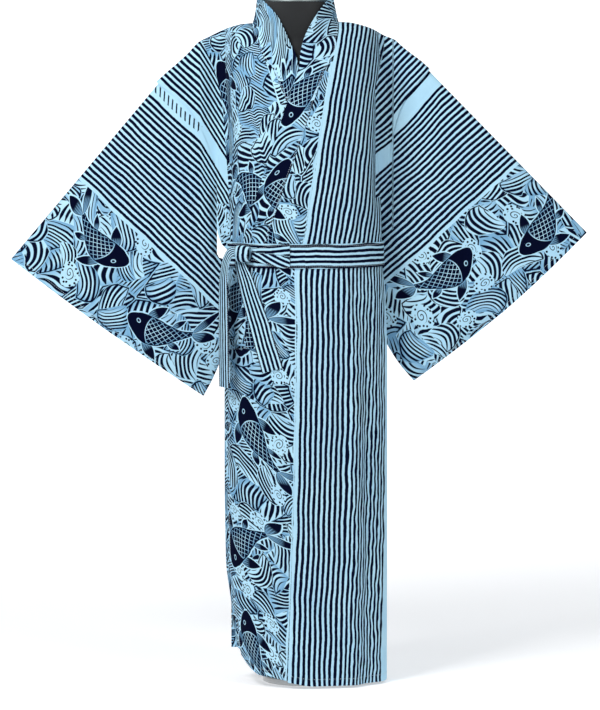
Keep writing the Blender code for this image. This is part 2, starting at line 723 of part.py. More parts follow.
# The crossing end, from the knot to where it slips under the band: angle,
# lower edge, upper edge.
LAP_ROWS = (
    (-55.0, 0.931, 0.951), (-49.0, 0.930, 0.952), (-42.5, 0.928, 0.954), (-35.5, 0.924, 0.957),
    (-28.0, 0.919, 0.961), (-20.0, 0.914, 0.964), (-11.5, 0.910, 0.966),
)
LAP_SHARES = (0.0, 0.33, 0.67, 1.0)


def belt_lift(angle):
    front = smoothstep((math.cos(math.radians(angle)) + 0.35) / 0.25)
    return BELT_BACK_LIFT + (BELT_FRONT_LIFT - BELT_BACK_LIFT) * front


belt_cloth = cotton("belt_cotton", (0.23, 0.35, 0.52))
turns = [360.0 * turn / BELT_TURNS for turn in range(BELT_TURNS)]
band = [[trunk_point(angle, height) for angle in turns]
        for height in (BELT_LOW, (BELT_LOW + BELT_HIGH) / 2, BELT_HIGH)]
wall_solid("belt_band", belt_cloth, band, [[belt_lift(angle) for angle in turns]] * 3,
           wall=BELT_WALL, closed=True)

lap = [[trunk_point(angle, low + (high - low) * share) for share in LAP_SHARES]
       for angle, low, high in LAP_ROWS]
wall_solid("belt_lap", belt_cloth, lap, LAP_LIFT, wall=BELT_WALL)


def waist_frame(angle, height):
    """A point of the trunk with its outward and sideways directions."""
    point = np.array(trunk_point(angle, height))
    sideways = np.array(trunk_point(angle + 1.0, height)) - np.array(trunk_point(angle - 1.0, height))
    sideways /= np.linalg.norm(sideways)
    return point, np.array((sideways[1], -sideways[0], 0.0)), sideways


def knot_rings():
    point, outward, sideways = waist_frame(KNOT_ANGLE, KNOT_HEIGHT)
    middle = point + outward * (KNOT_LIFT + KNOT_HALF_DEPTH)
    rings = []
    for rise, width, depth in KNOT_ROWS:
        ring = []
        for turn in np.linspace(0.0, 2 * math.pi, 20, endpoint=False):
            place = middle + sideways * KNOT_HALF_WIDTH * width * math.cos(turn)
            place = place + outward * KNOT_HALF_DEPTH * depth * math.sin(turn)
            ring.append((place[0], place[1], KNOT_HEIGHT + rise))
        rings.append(ring)
    return rings


ring_solid("belt_knot", belt_cloth, knot_rings())

# The front tail lies on the skirt: across, height, half width, lift.
FRONT_TAIL_ROWS = (
    (-0.1270, 0.9230, 0.0095, 0.0122), (-0.1245, 0.9080, 0.0120, 0.0110),
    (-0.1200, 0.8900, 0.0145, 0.0092), (-0.1125, 0.8620, 0.0170, 0.0074),
    (-0.1005, 0.8200, 0.0192, 0.0063), (-0.0875, 0.7750, 0.0207, 0.0060),
    (-0.0745, 0.7300, 0.0219, 0.0060), (-0.0635, 0.6920, 0.0226, 0.0060),
)
# The side tail loops and hangs beside it: its middle and its half width, x y z.
SIDE_TAIL_ROWS = (
    (-0.1446, -0.0780, 0.9480, 0.0000, 0.0035, 0.0085),
    (-0.1555, -0.0810, 0.9440, -0.0030, 0.0060, 0.0090),
    (-0.1640, -0.0830, 0.9290, -0.0055, 0.0095, 0.0075),
    (-0.1690, -0.0830, 0.9000, -0.0080, 0.0145, 0.0025),
    (-0.1700, -0.0810, 0.8570, -0.0100, 0.0195, 0.0000),
    (-0.1695, -0.0800, 0.8000, -0.0108, 0.0220, 0.0000),
    (-0.1690, -0.0800, 0.7300, -0.0112, 0.0226, 0.0000),
    (-0.1685, -0.0800, 0.6530, -0.0112, 0.0226, 0.0000),
)
TAIL_SHARES = (-1.0, -0.33, 0.33, 1.0)
TAIL_WALL = 0.0022


def front_tail_grid():
    grid = []
    for number, (across, height, half, _) in enumerate(FRONT_TAIL_ROWS):
        before = FRONT_TAIL_ROWS[max(number - 1, 0)]
        after = FRONT_TAIL_ROWS[min(number + 1, len(FRONT_TAIL_ROWS) - 1)]
        fall = np.array((after[0] - before[0], after[1] - before[1]))
        sideways = np.array((-fall[1], fall[0])) / np.linalg.norm(fall)
        row = []
        for share in TAIL_SHARES:
            place = np.array((across, height)) + sideways * half * share
            row.append(trunk_point(angle_at(place[0], place[1]), place[1]))
        grid.append(row)
    return grid


front_tail = front_tail_grid()
front_lift = [[row[3] + fold_lift(point) for point in points]
              for row, points in zip(FRONT_TAIL_ROWS, front_tail)]
wall_solid("belt_tail_front", belt_cloth, front_tail, front_lift, wall=TAIL_WALL)

side_tail = []
for row in SIDE_TAIL_ROWS:
    middle = np.array(row[:3])
    half = np.array(row[3:])
    side_tail.append([tuple(middle + half * share) for share in TAIL_SHARES])
wall_solid("belt_tail_side", belt_cloth, side_tail, 0.0, wall=TAIL_WALL)


# ------------------------------------------------------------------ dress form
# A smooth torso with its neck, on a pole and a round weighted base.
FORM_BOTTOM = 0.740
NECK_RADIUS = 0.0655
NECK_TOP = 1.4840
CAP_TOP = 1.4960
CAP_RADIUS = 0.0660
POLE_RADIUS = 0.0125
BASE_RADIUS = 0.088
BASE_THICKNESS = 0.014
BASE_BEVEL = 0.003
CONTACT = 0.0003
NECK_BLEND = 0.003
FORM_TURNS = 32
FORM_HEIGHTS = (0.740, 0.746, 0.800, 0.870, 0.939, 1.010, 1.080, 1.150, 1.220, 1.290, 1.335,
                1.365, 1.388, 1.404, 1.416, 1.426, 1.433, 1.442, 1.462, 1.484)


def form_clearance(height):
    """Snug at the shoulders, looser below, tucked in at the bottom edge."""
    loose = 0.0030 + 0.0035 * smoothstep((1.425 - height) / 0.030)
    loose += 0.0035 * smoothstep((height - 1.427) / 0.006)
    return loose + 0.010 * smoothstep((0.746 - height) / 0.006)


def form_reach(side, height):
    """Half width of the torso or, above the shoulders, of the neck."""
    clearance = form_clearance(height)
    middle = trunk("middle", height)
    widest = trunk_reach(side, height) - clearance
    low = 0.0
    high = widest
    if ridge(middle + side * widest) - clearance < height:
        for _ in range(24):
            probe = (low + high) / 2
            if ridge(middle + side * probe) - clearance > height:
                low = probe
            else:
                high = probe
    neck = side * (NECK_MIDDLE - middle) + NECK_RADIUS
    if height < 1.360:
        return high
    return max(high if high > 0.001 else 0.0, neck)


def form_depth(face, across, height):
    clearance = form_clearance(height)
    middle = trunk("middle", height)
    side = 1 if across >= middle else -1
    share = (across - middle) / (trunk_reach(side, height) - clearance)
    span = trunk("front" if face < 0 else "back", height) - clearance
    drop = ridge(across) - clearance - height
    body = span * math.sqrt(max(0.0, 1.0 - share * share)) * round_over(drop / SHOULDER_ROUND)
    neck = math.sqrt(max(0.0, NECK_RADIUS ** 2 - (across - NECK_MIDDLE) ** 2))
    neck *= smoothstep((height - 1.340) / 0.060)
    blend = max(0.0, NECK_BLEND - abs(body - neck))
    return max(body, neck) + blend * blend / (4 * NECK_BLEND)


def form_rings():
    rings = []
    for height in FORM_HEIGHTS:
        ring = []
        middle = trunk("middle", height)
        for number in range(FORM_TURNS):
            turn = 2 * math.pi * number / FORM_TURNS
            side = 1 if math.sin(turn) >= 0 else -1
            face = -1 if math.cos(turn) >= 0 else 1
            across = middle + form_reach(side, height) * math.sin(turn)
            depth = form_depth(face, across, height)
            set_back = arm_shift(across, height) if height < 1.44 else 0.0
            ring.append((across, set_back + face * depth, height))
        rings.append(ring)
    return rings


def disc_rings(x, y, profile, count):
    """Rings of a turned solid from (radius, height) pairs."""
    turns = [2 * math.pi * number / count for number in range(count)]
    return [[(x + radius * math.sin(turn), y - radius * math.cos(turn), height) for turn in turns]
            for radius, height in profile]


form_cloth = plain_material("form_black_jersey", (0.018, 0.021, 0.022), 0.9)
form_metal = plain_material("form_painted_steel", (0.80, 0.80, 0.79), 0.45)
cap_finish = plain_material("cap_satin_metal", (0.36, 0.41, 0.42), 0.4, 1.0)
ring_solid("form_torso", form_cloth, form_rings())
ring_solid("form_cap", cap_finish, disc_rings(NECK_MIDDLE, 0.0, (
    (CAP_RADIUS, NECK_TOP + CONTACT), (CAP_RADIUS, CAP_TOP - 0.004),
    (CAP_RADIUS - 0.004, CAP_TOP)), FORM_TURNS))
ring_solid("form_pole", form_metal, disc_rings(0.0, 0.0, (
    (POLE_RADIUS, BASE_THICKNESS + CONTACT), (POLE_RADIUS, FORM_BOTTOM - CONTACT)), 24))
ring_solid("form_base", form_metal, disc_rings(0.0, 0.0, (
    (BASE_RADIUS, 0.0), (BASE_RADIUS, BASE_THICKNESS - BASE_BEVEL),
    (BASE_RADIUS - BASE_BEVEL, BASE_THICKNESS)), 48))
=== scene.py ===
"""Cotton yukata robe on a limbless dress form: printed cloth, sash, form and studio."""
import math
from functools import partial

import bmesh
import bpy
import numpy as np
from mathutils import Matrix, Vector


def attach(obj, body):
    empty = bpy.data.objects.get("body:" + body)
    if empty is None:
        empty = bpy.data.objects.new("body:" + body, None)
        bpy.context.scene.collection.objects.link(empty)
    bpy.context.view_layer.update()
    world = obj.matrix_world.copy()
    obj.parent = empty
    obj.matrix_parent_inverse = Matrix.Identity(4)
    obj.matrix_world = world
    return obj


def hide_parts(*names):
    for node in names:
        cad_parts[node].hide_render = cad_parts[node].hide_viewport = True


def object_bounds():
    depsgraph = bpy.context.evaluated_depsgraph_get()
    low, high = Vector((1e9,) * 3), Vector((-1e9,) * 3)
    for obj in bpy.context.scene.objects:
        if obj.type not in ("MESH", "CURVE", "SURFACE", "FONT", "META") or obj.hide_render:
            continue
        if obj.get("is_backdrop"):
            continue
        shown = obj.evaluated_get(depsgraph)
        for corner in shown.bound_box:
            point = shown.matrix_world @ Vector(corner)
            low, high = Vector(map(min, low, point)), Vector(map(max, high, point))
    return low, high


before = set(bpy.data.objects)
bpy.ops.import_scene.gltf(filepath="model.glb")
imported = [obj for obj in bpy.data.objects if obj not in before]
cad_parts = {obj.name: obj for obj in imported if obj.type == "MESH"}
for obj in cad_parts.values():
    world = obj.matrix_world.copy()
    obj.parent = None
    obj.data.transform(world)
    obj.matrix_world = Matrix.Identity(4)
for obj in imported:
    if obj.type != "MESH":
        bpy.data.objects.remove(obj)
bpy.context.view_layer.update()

# ------------------------------------------------------------------ camera
# A studio camera at the height of the collar, aimed at the waist, far enough back
# to keep the robe's sides nearly parallel.
CAMERA_PLACE = Vector((-0.0065, -9.0, 1.5))
CAMERA_AIM = Vector((-0.0065, 0.0, 0.716))
FRAME_HEIGHT = 1.548          # metres seen from top to bottom at the robe
SENSOR = 24.0

camera_data = bpy.data.cameras.new("studio_camera")
camera = bpy.data.objects.new("studio_camera", camera_data)
bpy.context.collection.objects.link(camera)
camera.location = CAMERA_PLACE
camera.rotation_euler = (CAMERA_AIM - CAMERA_PLACE).to_track_quat("-Z", "Y").to_euler()
camera_data.sensor_fit = "VERTICAL"
camera_data.sensor_height = SENSOR
camera_data.lens = SENSOR * (CAMERA_AIM - CAMERA_PLACE).length / FRAME_HEIGHT
camera_data.clip_end = 60.0
bpy.context.scene.camera = camera

# ------------------------------------------------------------------ base and pole
# A turned steel disc with a rolled edge, painted satin white, and the steel tube
# that screws into it. The hem hides all but a little of the rim.
BASE_PROFILE = ((0.086, 0.0), (0.0876, 0.0006), (0.088, 0.0018), (0.088, 0.0112), (0.0874, 0.0127),
                (0.0862, 0.0137), (0.0845, 0.014), (0.024, 0.014), (0.023, 0.014))
POLE_PROFILE = ((0.0119, 0.0143), (0.0125, 0.0149), (0.0125, 0.7391), (0.0119, 0.7397))


def feed(node, values):
    """Links or sets a node's inputs, given by name or number; None leaves one alone."""
    for key, source in values.items():
        if isinstance(source, bpy.types.Node):
            source = next(out for out in source.outputs if out.enabled)
        if isinstance(source, bpy.types.NodeSocket):
            node.id_data.links.new(source, node.inputs[key])
        elif source is not None:
            node.inputs[key].default_value = source


def add(tree, kind, *sources, **settings):
    """Adds a node with its settings and feeds its inputs in order. Capitals name a Math operation."""
    if kind.isupper():
        kind, settings = "Math", {"operation": kind}
    node = tree.nodes.new(tree.bl_idname.replace("Tree", kind))
    for key, value in settings.items():
        setattr(node, key, value)
    ready = [place for place, socket in enumerate(node.inputs) if socket.enabled]
    feed(node, dict(zip(ready, sources)))
    return node


def linear(code):
    """An sRGB hex colour as linear red, green, blue and alpha."""
    parts = [int(code[i:i + 2], 16) / 255.0 for i in (1, 3, 5)]
    curve = [p / 12.92 if p <= 0.04045 else ((p + 0.055) / 1.055) ** 2.4 for p in parts]
    return (*curve, 1.0)


def new_material(name, values):
    """A material with its node adder and its shader, whose inputs are given by name."""
    material = bpy.data.materials.new(name)
    material.use_nodes = True
    shader = material.node_tree.nodes["Principled BSDF"]
    feed(shader, values)
    return material, partial(add, material.node_tree), shader


def toned(name, roughness, scale, dark, light, detail=2.0):
    """A material that drifts between two tones, with its place and noise nodes as well."""
    material, put, shader = new_material(name, {"Roughness": roughness})
    place = put("TexCoord").outputs["Object"]
    noise = put("TexNoise", place, scale, detail)
    feed(shader, {"Base Color": put("Mix", noise, linear(dark), linear(light), data_type="RGBA")})
    return material, put, shader, place, noise


def new_piece(name, mesh, material=None, sharp=40.0):
    """A visible piece of the part from a finished mesh."""
    if material:
        mesh.materials.append(material)
        mesh.shade_smooth()
        mesh.set_sharp_from_angle(angle=math.radians(sharp))
    piece = bpy.data.objects.new(name, mesh)
    bpy.context.collection.objects.link(piece)
    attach(piece, "root")
    return piece


def ring_piece(name, material, rings):
    """A closed solid through rings of equal point counts, flat at both ends."""
    rings = np.array(rings, dtype=float)
    count = rings.shape[1]
    shape = bmesh.new()
    levels = [[shape.verts.new(point) for point in ring] for ring in rings]
    for lower, upper in zip(levels, levels[1:]):
        for i in range(count):
            j = (i + 1) % count
            shape.faces.new((lower[i], lower[j], upper[j], upper[i]))
    shape.faces.new(levels[0][::-1])
    shape.faces.new(levels[-1])
    bmesh.ops.recalc_face_normals(shape, faces=shape.faces[:])
    mesh = bpy.data.meshes.new(name)
    shape.to_mesh(mesh)
    shape.free()
    return new_piece(name, mesh, material)


def turned(x, y, profile, count):
    """Rings of a turned solid from (radius, height) pairs."""
    turns = np.linspace(0.0, 2 * math.pi, count, endpoint=False)
    return [[(x + radius * math.cos(t), y + radius * math.sin(t), height) for t in turns] for radius,
            height in profile]


# Satin white stove enamel on steel: a soft highlight over faint orange peel.
enamel, put, shader, _, peel = toned("satin_white_stove_enamel", 0.42, 420.0, "#e4e5e4", "#ececeb")
feed(shader, {"Normal": put("Bump", 0.12, 0.0004, None, peel)})
for name, node, profile, count in (("base_disc", "form_base", BASE_PROFILE, 96),
                                   ("pole_tube", "form_pole", POLE_PROFILE, 48)):
    piece = ring_piece(name, enamel, turned(0.0, 0.0, profile, count))
    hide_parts(node)

# ------------------------------------------------------------------ torso
# A moulded torso with its neck, covered in matt black cotton jersey. The trunk
# surface defined here also carries every cloth piece.
FORM_HEIGHTS = (0.74, 0.746, 0.8, 0.87, 0.939, 1.01, 1.08, 1.15, 1.22, 1.29, 1.335, 1.365, 1.388, 1.404,
                1.416, 1.426, 1.433, 1.442, 1.462, 1.484)
FORM_TURNS = 96
NECK_MIDDLE = -0.0165
NECK_RADIUS = 0.0655
NECK_BLEND = 0.003
ARMHOLE_END = 1.1             # lower end of the armhole seam
ARM_LOWEST = 0.98             # height under which nothing swings back to the sleeves
ARM_SET_BACK = 0.05           # sleeves hang this far behind the trunk's middle
ARM_BEGIN = 0.13
ARM_BLEND = 0.06
SLEEVE_HOLLOW = 0.0085        # half the space between a sleeve's two layers
SHOULDER_ROUND = 0.09
FOLD_ROUND = 0.012
SEAM = 0.0002                 # gap between two pieces sewn edge to edge

# Trunk, inside the cloth: height, its middle, its reach to each side, front and back.
TRUNK_ROWS = (
    (0.0, 0.005, 0.126, 0.1755, 0.12, 0.122), (0.06, 0.005, 0.143, 0.1755, 0.12, 0.122),
    (0.093, 0.005, 0.15, 0.1755, 0.12, 0.122), (0.185, 0.005, 0.162, 0.1755, 0.12, 0.122),
    (0.267, 0.005, 0.172, 0.1755, 0.12, 0.121), (0.45, 0.005, 0.1745, 0.1755, 0.119, 0.12),
    (0.7, 0.005, 0.1745, 0.1755, 0.116, 0.117), (0.85, 0.005, 0.17, 0.171, 0.109, 0.108),
    (0.939, 0.005, 0.1605, 0.1625, 0.101, 0.098), (1.02, 0.004, 0.163, 0.164, 0.106, 0.101),
    (1.1, 0.002, 0.163, 0.163, 0.113, 0.104), (1.2, 0.0, 0.163, 0.162, 0.118, 0.107),
    (1.3, -0.002, 0.163, 0.163, 0.108, 0.105), (1.38, -0.002, 0.165, 0.165, 0.095, 0.098),
    (1.45, -0.002, 0.165, 0.165, 0.085, 0.092),
)
# Top line of the shoulders: across, height.
RIDGE_ROWS = (
    (-0.38, 1.245), (-0.33, 1.2975), (-0.3, 1.3255), (-0.268, 1.353), (-0.2245, 1.392), (-0.192, 1.412),
    (-0.159, 1.4265), (-0.126, 1.4345), (0.0, 1.44), (0.074, 1.4385), (0.1025, 1.437), (0.124, 1.432),
    (0.146, 1.425), (0.177, 1.408), (0.196, 1.3985), (0.214, 1.385), (0.235, 1.369), (0.262, 1.348),
    (0.38, 1.2272),
)


def cubic(t, width, start, end, start_slope, end_slope):
    """The smooth curve from start to end at a share t of its width."""
    first = (1 + 2 * t) * (1 - t) ** 2 * start + t * (1 - t) ** 2 * width * start_slope
    return first + (t * t * (3 - 2 * t) * end + t * t * (t - 1) * width * end_slope)


def curves(rows):
    """Dense smooth curves through a table's columns over its first one."""
    rows = np.array(rows, dtype=float)
    xs = rows[:, 0]
    steps = np.diff(xs)
    fine = np.linspace(xs[0], xs[-1], 4001)
    at = np.clip(np.searchsorted(xs, fine) - 1, 0, len(xs) - 2)
    t = (fine - xs[at]) / steps[at]
    found = [fine]
    for ys in rows[:, 1:].T:
        slopes = np.diff(ys) / steps
        both = slopes[:-1] * slopes[1:]
        total = np.where(both > 0, slopes[:-1] + slopes[1:], 1.0)
        slopes = np.concatenate(([slopes[0]], np.where(both > 0, 2 * both / total, 0.0), [slopes[-1]]))
        found.append(cubic(t, steps[at], ys[at], ys[at + 1], slopes[at], slopes[at + 1]))
    return np.array(found)


def read(source, column, value):
    return np.interp(value, source[0], source[column])


def read_side(source, side, value):
    """From a table with a column for the plus side and one for the minus side."""
    return read(source, 1 if side > 0 else 2, value)


def smoothstep(value):
    value = np.clip(value, 0.0, 1.0)
    return value * value * (3.0 - 2.0 * value)


TRUNK = curves(TRUNK_ROWS)
RIDGE = curves(RIDGE_ROWS)


def trunk_middle(height):
    return read(TRUNK, 1, height)


def trunk_reach(side, height):
    """Half width of the trunk on one side (+1 or -1)."""
    return np.where(np.asarray(side) > 0, read(TRUNK, 3, height), read(TRUNK, 2, height))


def trunk_depth(face, height):
    """Half depth of the trunk in front (-1) or behind (+1)."""
    return np.where(np.asarray(face) < 0, read(TRUNK, 4, height), read(TRUNK, 5, height))


def ridge(across):
    return read(RIDGE, 1, across)


def arm_shift(across, height):
    """How far back the cloth lies beyond the trunk's sides."""
    outward = smoothstep((np.abs(across) - ARM_BEGIN) / ARM_BLEND)
    upward = smoothstep((height - ARM_LOWEST) / (ARMHOLE_END - ARM_LOWEST))
    return ARM_SET_BACK * outward * upward


def round_over(share):
    """A quarter circle from 0 at the fold to 1."""
    share = np.clip(share, 0.0, 1.0)
    return np.sqrt(share * (2.0 - share))


def form_reach(side, height):
    """Half width of the torso or, above the shoulders, of the neck."""
    clearance = form_clearance(height)
    middle = trunk_middle(height)
    low = 0.0
    high = float(trunk_reach(side, height)) - clearance
    if ridge(middle + side * high) - clearance < height:
        for _ in range(24):
            probe = (low + high) / 2
            if ridge(middle + side * probe) - clearance > height:
                low = probe
            else:
                high = probe
    if height < 1.36:
        return high
    return max(high if high > 0.001 else 0.0, side * (NECK_MIDDLE - middle) + NECK_RADIUS)


def form_clearance(height):
    """Snug at the shoulders, looser below, tucked in at the bottom edge."""
    loose = 0.003 + 0.0035 * smoothstep((1.425 - height) / 0.03)
    loose += 0.0035 * smoothstep((height - 1.427) / 0.006)
    return loose + 0.01 * smoothstep((0.746 - height) / 0.006)


def form_ring(height):
    """Points round the torso and its neck at one height."""
    turns = np.linspace(0.0, 2 * math.pi, FORM_TURNS, endpoint=False)
    side = np.where(np.sin(turns) >= 0, 1, -1)
    face = np.where(np.cos(turns) >= 0, -1, 1)
    clearance = form_clearance(height)
    middle = trunk_middle(height)
    across = middle + np.where(side > 0, form_reach(1, height), form_reach(-1, height)) * np.sin(turns)
    part = (across - middle) / (trunk_reach(np.where(across >= middle, 1, -1), height) - clearance)
    drop = ridge(across) - clearance - height
    body = (trunk_depth(face, height) - clearance) * np.sqrt(np.clip(1.0 - part * part, 0.0, 1.0))
    body = body * round_over(drop / SHOULDER_ROUND)
    neck = np.sqrt(np.clip(NECK_RADIUS ** 2 - (across - NECK_MIDDLE) ** 2, 0.0, 1.0))
    neck = neck * smoothstep((height - 1.34) / 0.06)
    blend = np.clip(NECK_BLEND - np.abs(body - neck), 0.0, 1.0)
    depth = np.maximum(body, neck) + blend * blend / (4 * NECK_BLEND)
    back = arm_shift(across, height) if height < 1.44 else 0.0
    return np.stack([across, back + face * depth, np.full(FORM_TURNS, height)], axis=1)


# Matt black cotton jersey: ribs of the knit run up the form, drawn at 2.4 mm
# because the real 0.6 mm ones are too fine to show.
jersey, put, shader, place, _ = toned("matt_black_jersey", 0.92, 55.0, "#080b0e", "#0f1418", 3.0)
ribs = put("TexWave", place, 131.0, 1.0, 2.0, wave_type="BANDS", bands_direction="X")
feed(shader, {"Sheen Weight": 0.25, "Sheen Roughness": 0.6,
              "Normal": put("Bump", 0.25, 0.0006, None, ribs)})

heights = np.interp(np.linspace(0, len(FORM_HEIGHTS) - 1, 4 * len(FORM_HEIGHTS) - 3),
                    np.arange(len(FORM_HEIGHTS)), FORM_HEIGHTS)
torso = ring_piece("torso_cover", jersey, [form_ring(float(height)) for height in heights])
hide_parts("form_torso")

# ------------------------------------------------------------------ neck cap
# A shallow spun metal cap that closes the neck, pressed over its rim. Its satin
# grey-green finish has a faint mottle from the spinning.
CAP_PROFILE = ((0.0652, 1.4843), (0.066, 1.4851), (0.066, 1.4918), (0.0655, 1.4938), (0.0642, 1.4953),
               (0.0622, 1.496), (0.03, 1.496))
satin, put, shader, _, _ = toned("satin_spun_metal", 0.42, 260.0, "#98a3a3", "#b4bfbf")
feed(shader, {"Metallic": 0.85})
cap = ring_piece("neck_cap", satin, turned(NECK_MIDDLE, 0.0, CAP_PROFILE, 96))
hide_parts("form_cap")

# ------------------------------------------------------------------ printed cotton
# One plain-woven cotton roll, block-printed in navy on ice blue. Across the roll:
# waves with carp, a plain line, stripes, and a plain band at the selvage.
WAVES_END = 0.205
STRIPES_FROM = 0.213
STRIPE_PITCH = 0.0114
BAND_FROM = 0.448
ROLL_WIDTH = 0.485
STROKE_PITCH = 0.0125
STROKE_SLANT = 62.0
STROKE_MIDDLE = 0.466
CARP_STEP = 0.236             # a carp every so far along the roll
PALE = "#c9f1ff"
PALE_SHADE = "#a4d3f2"
WASH = "#5c99c6"              # thin dye in the hollows of the waves
NAVY = "#01041a"
NAVY_FADED = "#040c2c"
WEAVE = 0.003                 # pitch of the drawn threads
WAVE_LINE = 0.0094            # pitch of the lines in a wave


def new_group(name, kind, inputs, outputs):
    """A node group, its node adder and its two end nodes. Labels name sockets, floats if not said."""
    group = bpy.data.node_groups.new(name, kind + "NodeTree")
    for in_out, labels in (("INPUT", inputs), ("OUTPUT", outputs)):
        for label in labels:
            label, _, socket = label.partition(":")
            group.interface.new_socket(label, in_out=in_out,
                                       socket_type="NodeSocket" + (socket or "Float"))
    start, finish = [group.nodes.new("NodeGroup" + end) for end in ("Input", "Output")]
    return group, partial(add, group), start, finish


def wave_layer(put, u, v, load, turn, stretch, cell, near, far, pitch, taper, radius=None):
    """One layer of wave bundles: its ink, how far inside a bundle a point lies, the bundle's chance."""
    turned_u = put("MULTIPLY_ADD", u, math.cos(turn), put("MULTIPLY", v, math.sin(turn)))
    turned_v = put("MULTIPLY_ADD", u, -math.sin(turn), put("MULTIPLY", v, math.cos(turn)))
    spot = put("CombineXYZ", put("MULTIPLY", turned_u, stretch), turned_v, 0.0)
    cells = put("TexVoronoi", spot, 1.0 / cell, voronoi_dimensions="2D", feature="F1")
    edges = put("TexVoronoi", spot, 1.0 / cell, voronoi_dimensions="2D", feature="DISTANCE_TO_EDGE")
    local = put("VectorMath", spot, cells.outputs["Position"], operation="SUBTRACT")
    chance = put("SeparateColor", cells.outputs["Color"])
    heading = put("MULTIPLY", chance.outputs[0], 2 * math.pi)
    away = put("MULTIPLY_ADD", chance.outputs[1], far - near, near)
    centre = put("CombineXYZ", put("MULTIPLY", put("COSINE", heading), away),
                 put("MULTIPLY", put("SINE", heading), away), 0.0)
    arm = put("VectorMath", local, centre, operation="SUBTRACT")
    distance = put("VectorMath", arm, operation="LENGTH")
    fine = put("GREATER_THAN", chance.outputs[1], 0.72)
    phase = put("MULTIPLY", distance, put("MULTIPLY_ADD", fine, 0.35 / pitch, 1.0 / pitch))
    phase = put("ADD", phase, put("ADD", chance.outputs[2], 40.0))
    ramp = put("PINGPONG", phase, 0.5)
    rim = put("MULTIPLY", edges.outputs["Distance"], cell)
    # The lines start full from a dark spine on one side and run out to points.
    crossing = put("VectorMath", local, centre, operation="CROSS_PRODUCT")
    side = put("DIVIDE", put("SeparateXYZ", crossing).outputs[2], away)
    rooted = put("MapRange", side, 0.003, 0.012)
    limit = put("MapRange", put("MULTIPLY_ADD", rooted, 0.014, rim), 0.001, taper, 0.43, 0.208)
    inside = put("SUBTRACT", rim, 0.001)
    if radius:
        # A fan: a disc of lines, cut off towards their centre, over the layer below.
        middle = put("VectorMath", local, operation="LENGTH")
        within = put("SUBTRACT", put("MULTIPLY_ADD", chance.outputs[2], 0.014, radius), middle)
        facing = put("VectorMath", local, centre, operation="DOT_PRODUCT")
        cut = put("SUBTRACT", 0.5 * radius, put("DIVIDE", facing, away))
        inside = put("MINIMUM", inside, put("MINIMUM", within, cut))
        limit = put("MAXIMUM", limit, put("MapRange", cut, 0.001, 0.018, 0.46, 0.208))
    limit = put("MULTIPLY_ADD", load, -0.03, put("MULTIPLY_ADD", fine, 0.03, limit))
    ink = put("MapRange", put("SUBTRACT", ramp, limit), -0.035, 0.035)
    spine = put("MapRange", put("ABSOLUTE", put("SUBTRACT", inside, 0.0014)), 0.0015, 0.0009)
    spine = put("MULTIPLY", spine, put("MapRange", side, 0.005, 0.01))
    ink = put("MULTIPLY", put("MAXIMUM", ink, spine), put("MapRange", inside, -0.0004, 0.0002))
    return ink, inside, chance.outputs[1]


# Waves: bundles of curved lines that lie over each other like scales, thin dye
# in their hollows, and pale foam with drops and curls. Each layer: turn, stretch
# across, cell, nearest and farthest centre, line pitch, taper and, for a fan, radius.
WAVE_BASE = (0.55, 0.66, 0.056, 0.05, 0.12, WAVE_LINE, 0.011)
WAVE_FANS = ((-0.75, 0.8, 0.088, 0.034, 0.058, WAVE_LINE, 0.012, 0.03),
             (1.95, 0.85, 0.104, 0.036, 0.08, 0.009, 0.012, 0.027))
WAVE_WARP = 0.034
FOAM_CELL = 0.125
FOAM_CURL = 0.0068            # pitch of the curl in each patch of foam
DROP_CELL = 0.0092
waves, put, start, finish = new_group("wave_print", "Shader", ("U", "V", "Load"), ("Ink", "Wash"))
u, v, load = start.outputs[:3]
flat = put("CombineXYZ", u, v, 0.0)
bend = put("TexNoise", flat, 9.0, 1.0, noise_dimensions="2D")
shifts = put("SeparateColor", bend.outputs["Color"])
warped_u = put("MULTIPLY_ADD", put("SUBTRACT", shifts.outputs[0], 0.5), WAVE_WARP, u)
warped_v = put("MULTIPLY_ADD", put("SUBTRACT", shifts.outputs[1], 0.5), WAVE_WARP, v)
ink, inside, chance = wave_layer(put, warped_u, warped_v, load, *WAVE_BASE)
wash = put("MULTIPLY", put("MapRange", inside, 0.016, 0.002), put("MapRange", chance, 0.3, 0.7))
for fan in WAVE_FANS:
    crest, inside, chance = wave_layer(put, warped_u, warped_v, load, *fan)
    cover = put("MapRange", inside, -0.0014, -0.0006)
    shade = put("MULTIPLY", put("MapRange", inside, 0.014, 0.002), put("MapRange", chance, 0.3, 0.7))
    ink = put("Mix", cover, ink, crest)
    wash = put("Mix", cover, wash, shade)
foam_spot = put("CombineXYZ", warped_v, warped_u, 0.0)
foam = put("TexVoronoi", foam_spot, 1.0 / FOAM_CELL, voronoi_dimensions="2D", feature="F1")
foam_local = put("VectorMath", foam_spot, foam.outputs["Position"], operation="SUBTRACT")
foam_far = put("VectorMath", foam_local, operation="LENGTH")
parts = put("SeparateXYZ", foam_local)
bearing = put("DIVIDE", put("ARCTAN2", parts.outputs[1], parts.outputs[0]), 2 * math.pi)
coil = put("PINGPONG", put("ADD", put("MULTIPLY_ADD", foam_far, 1.0 / FOAM_CURL, bearing), 8.0), 0.5)
coil = put("MapRange", coil, 0.34, 0.4)
coil = put("MULTIPLY", coil, put("MapRange", foam_far, 0.0118, 0.011))
drops = put("TexVoronoi", flat, 1.0 / DROP_CELL, 0.0, 0.5, 2.0, 0.75, voronoi_dimensions="2D",
            feature="F1")
drops = put("MapRange", drops.outputs["Distance"], 0.3, 0.22)
drops = put("MULTIPLY", drops, put("MapRange", foam_far, 0.013, 0.0138))
cover = put("MapRange", foam_far, 0.0232, 0.0224)
ink = put("Mix", cover, ink, put("MAXIMUM", coil, drops))
wash = put("MULTIPLY", wash, put("SUBTRACT", 1.0, cover))
feed(finish, {"Ink": ink, "Wash": wash})

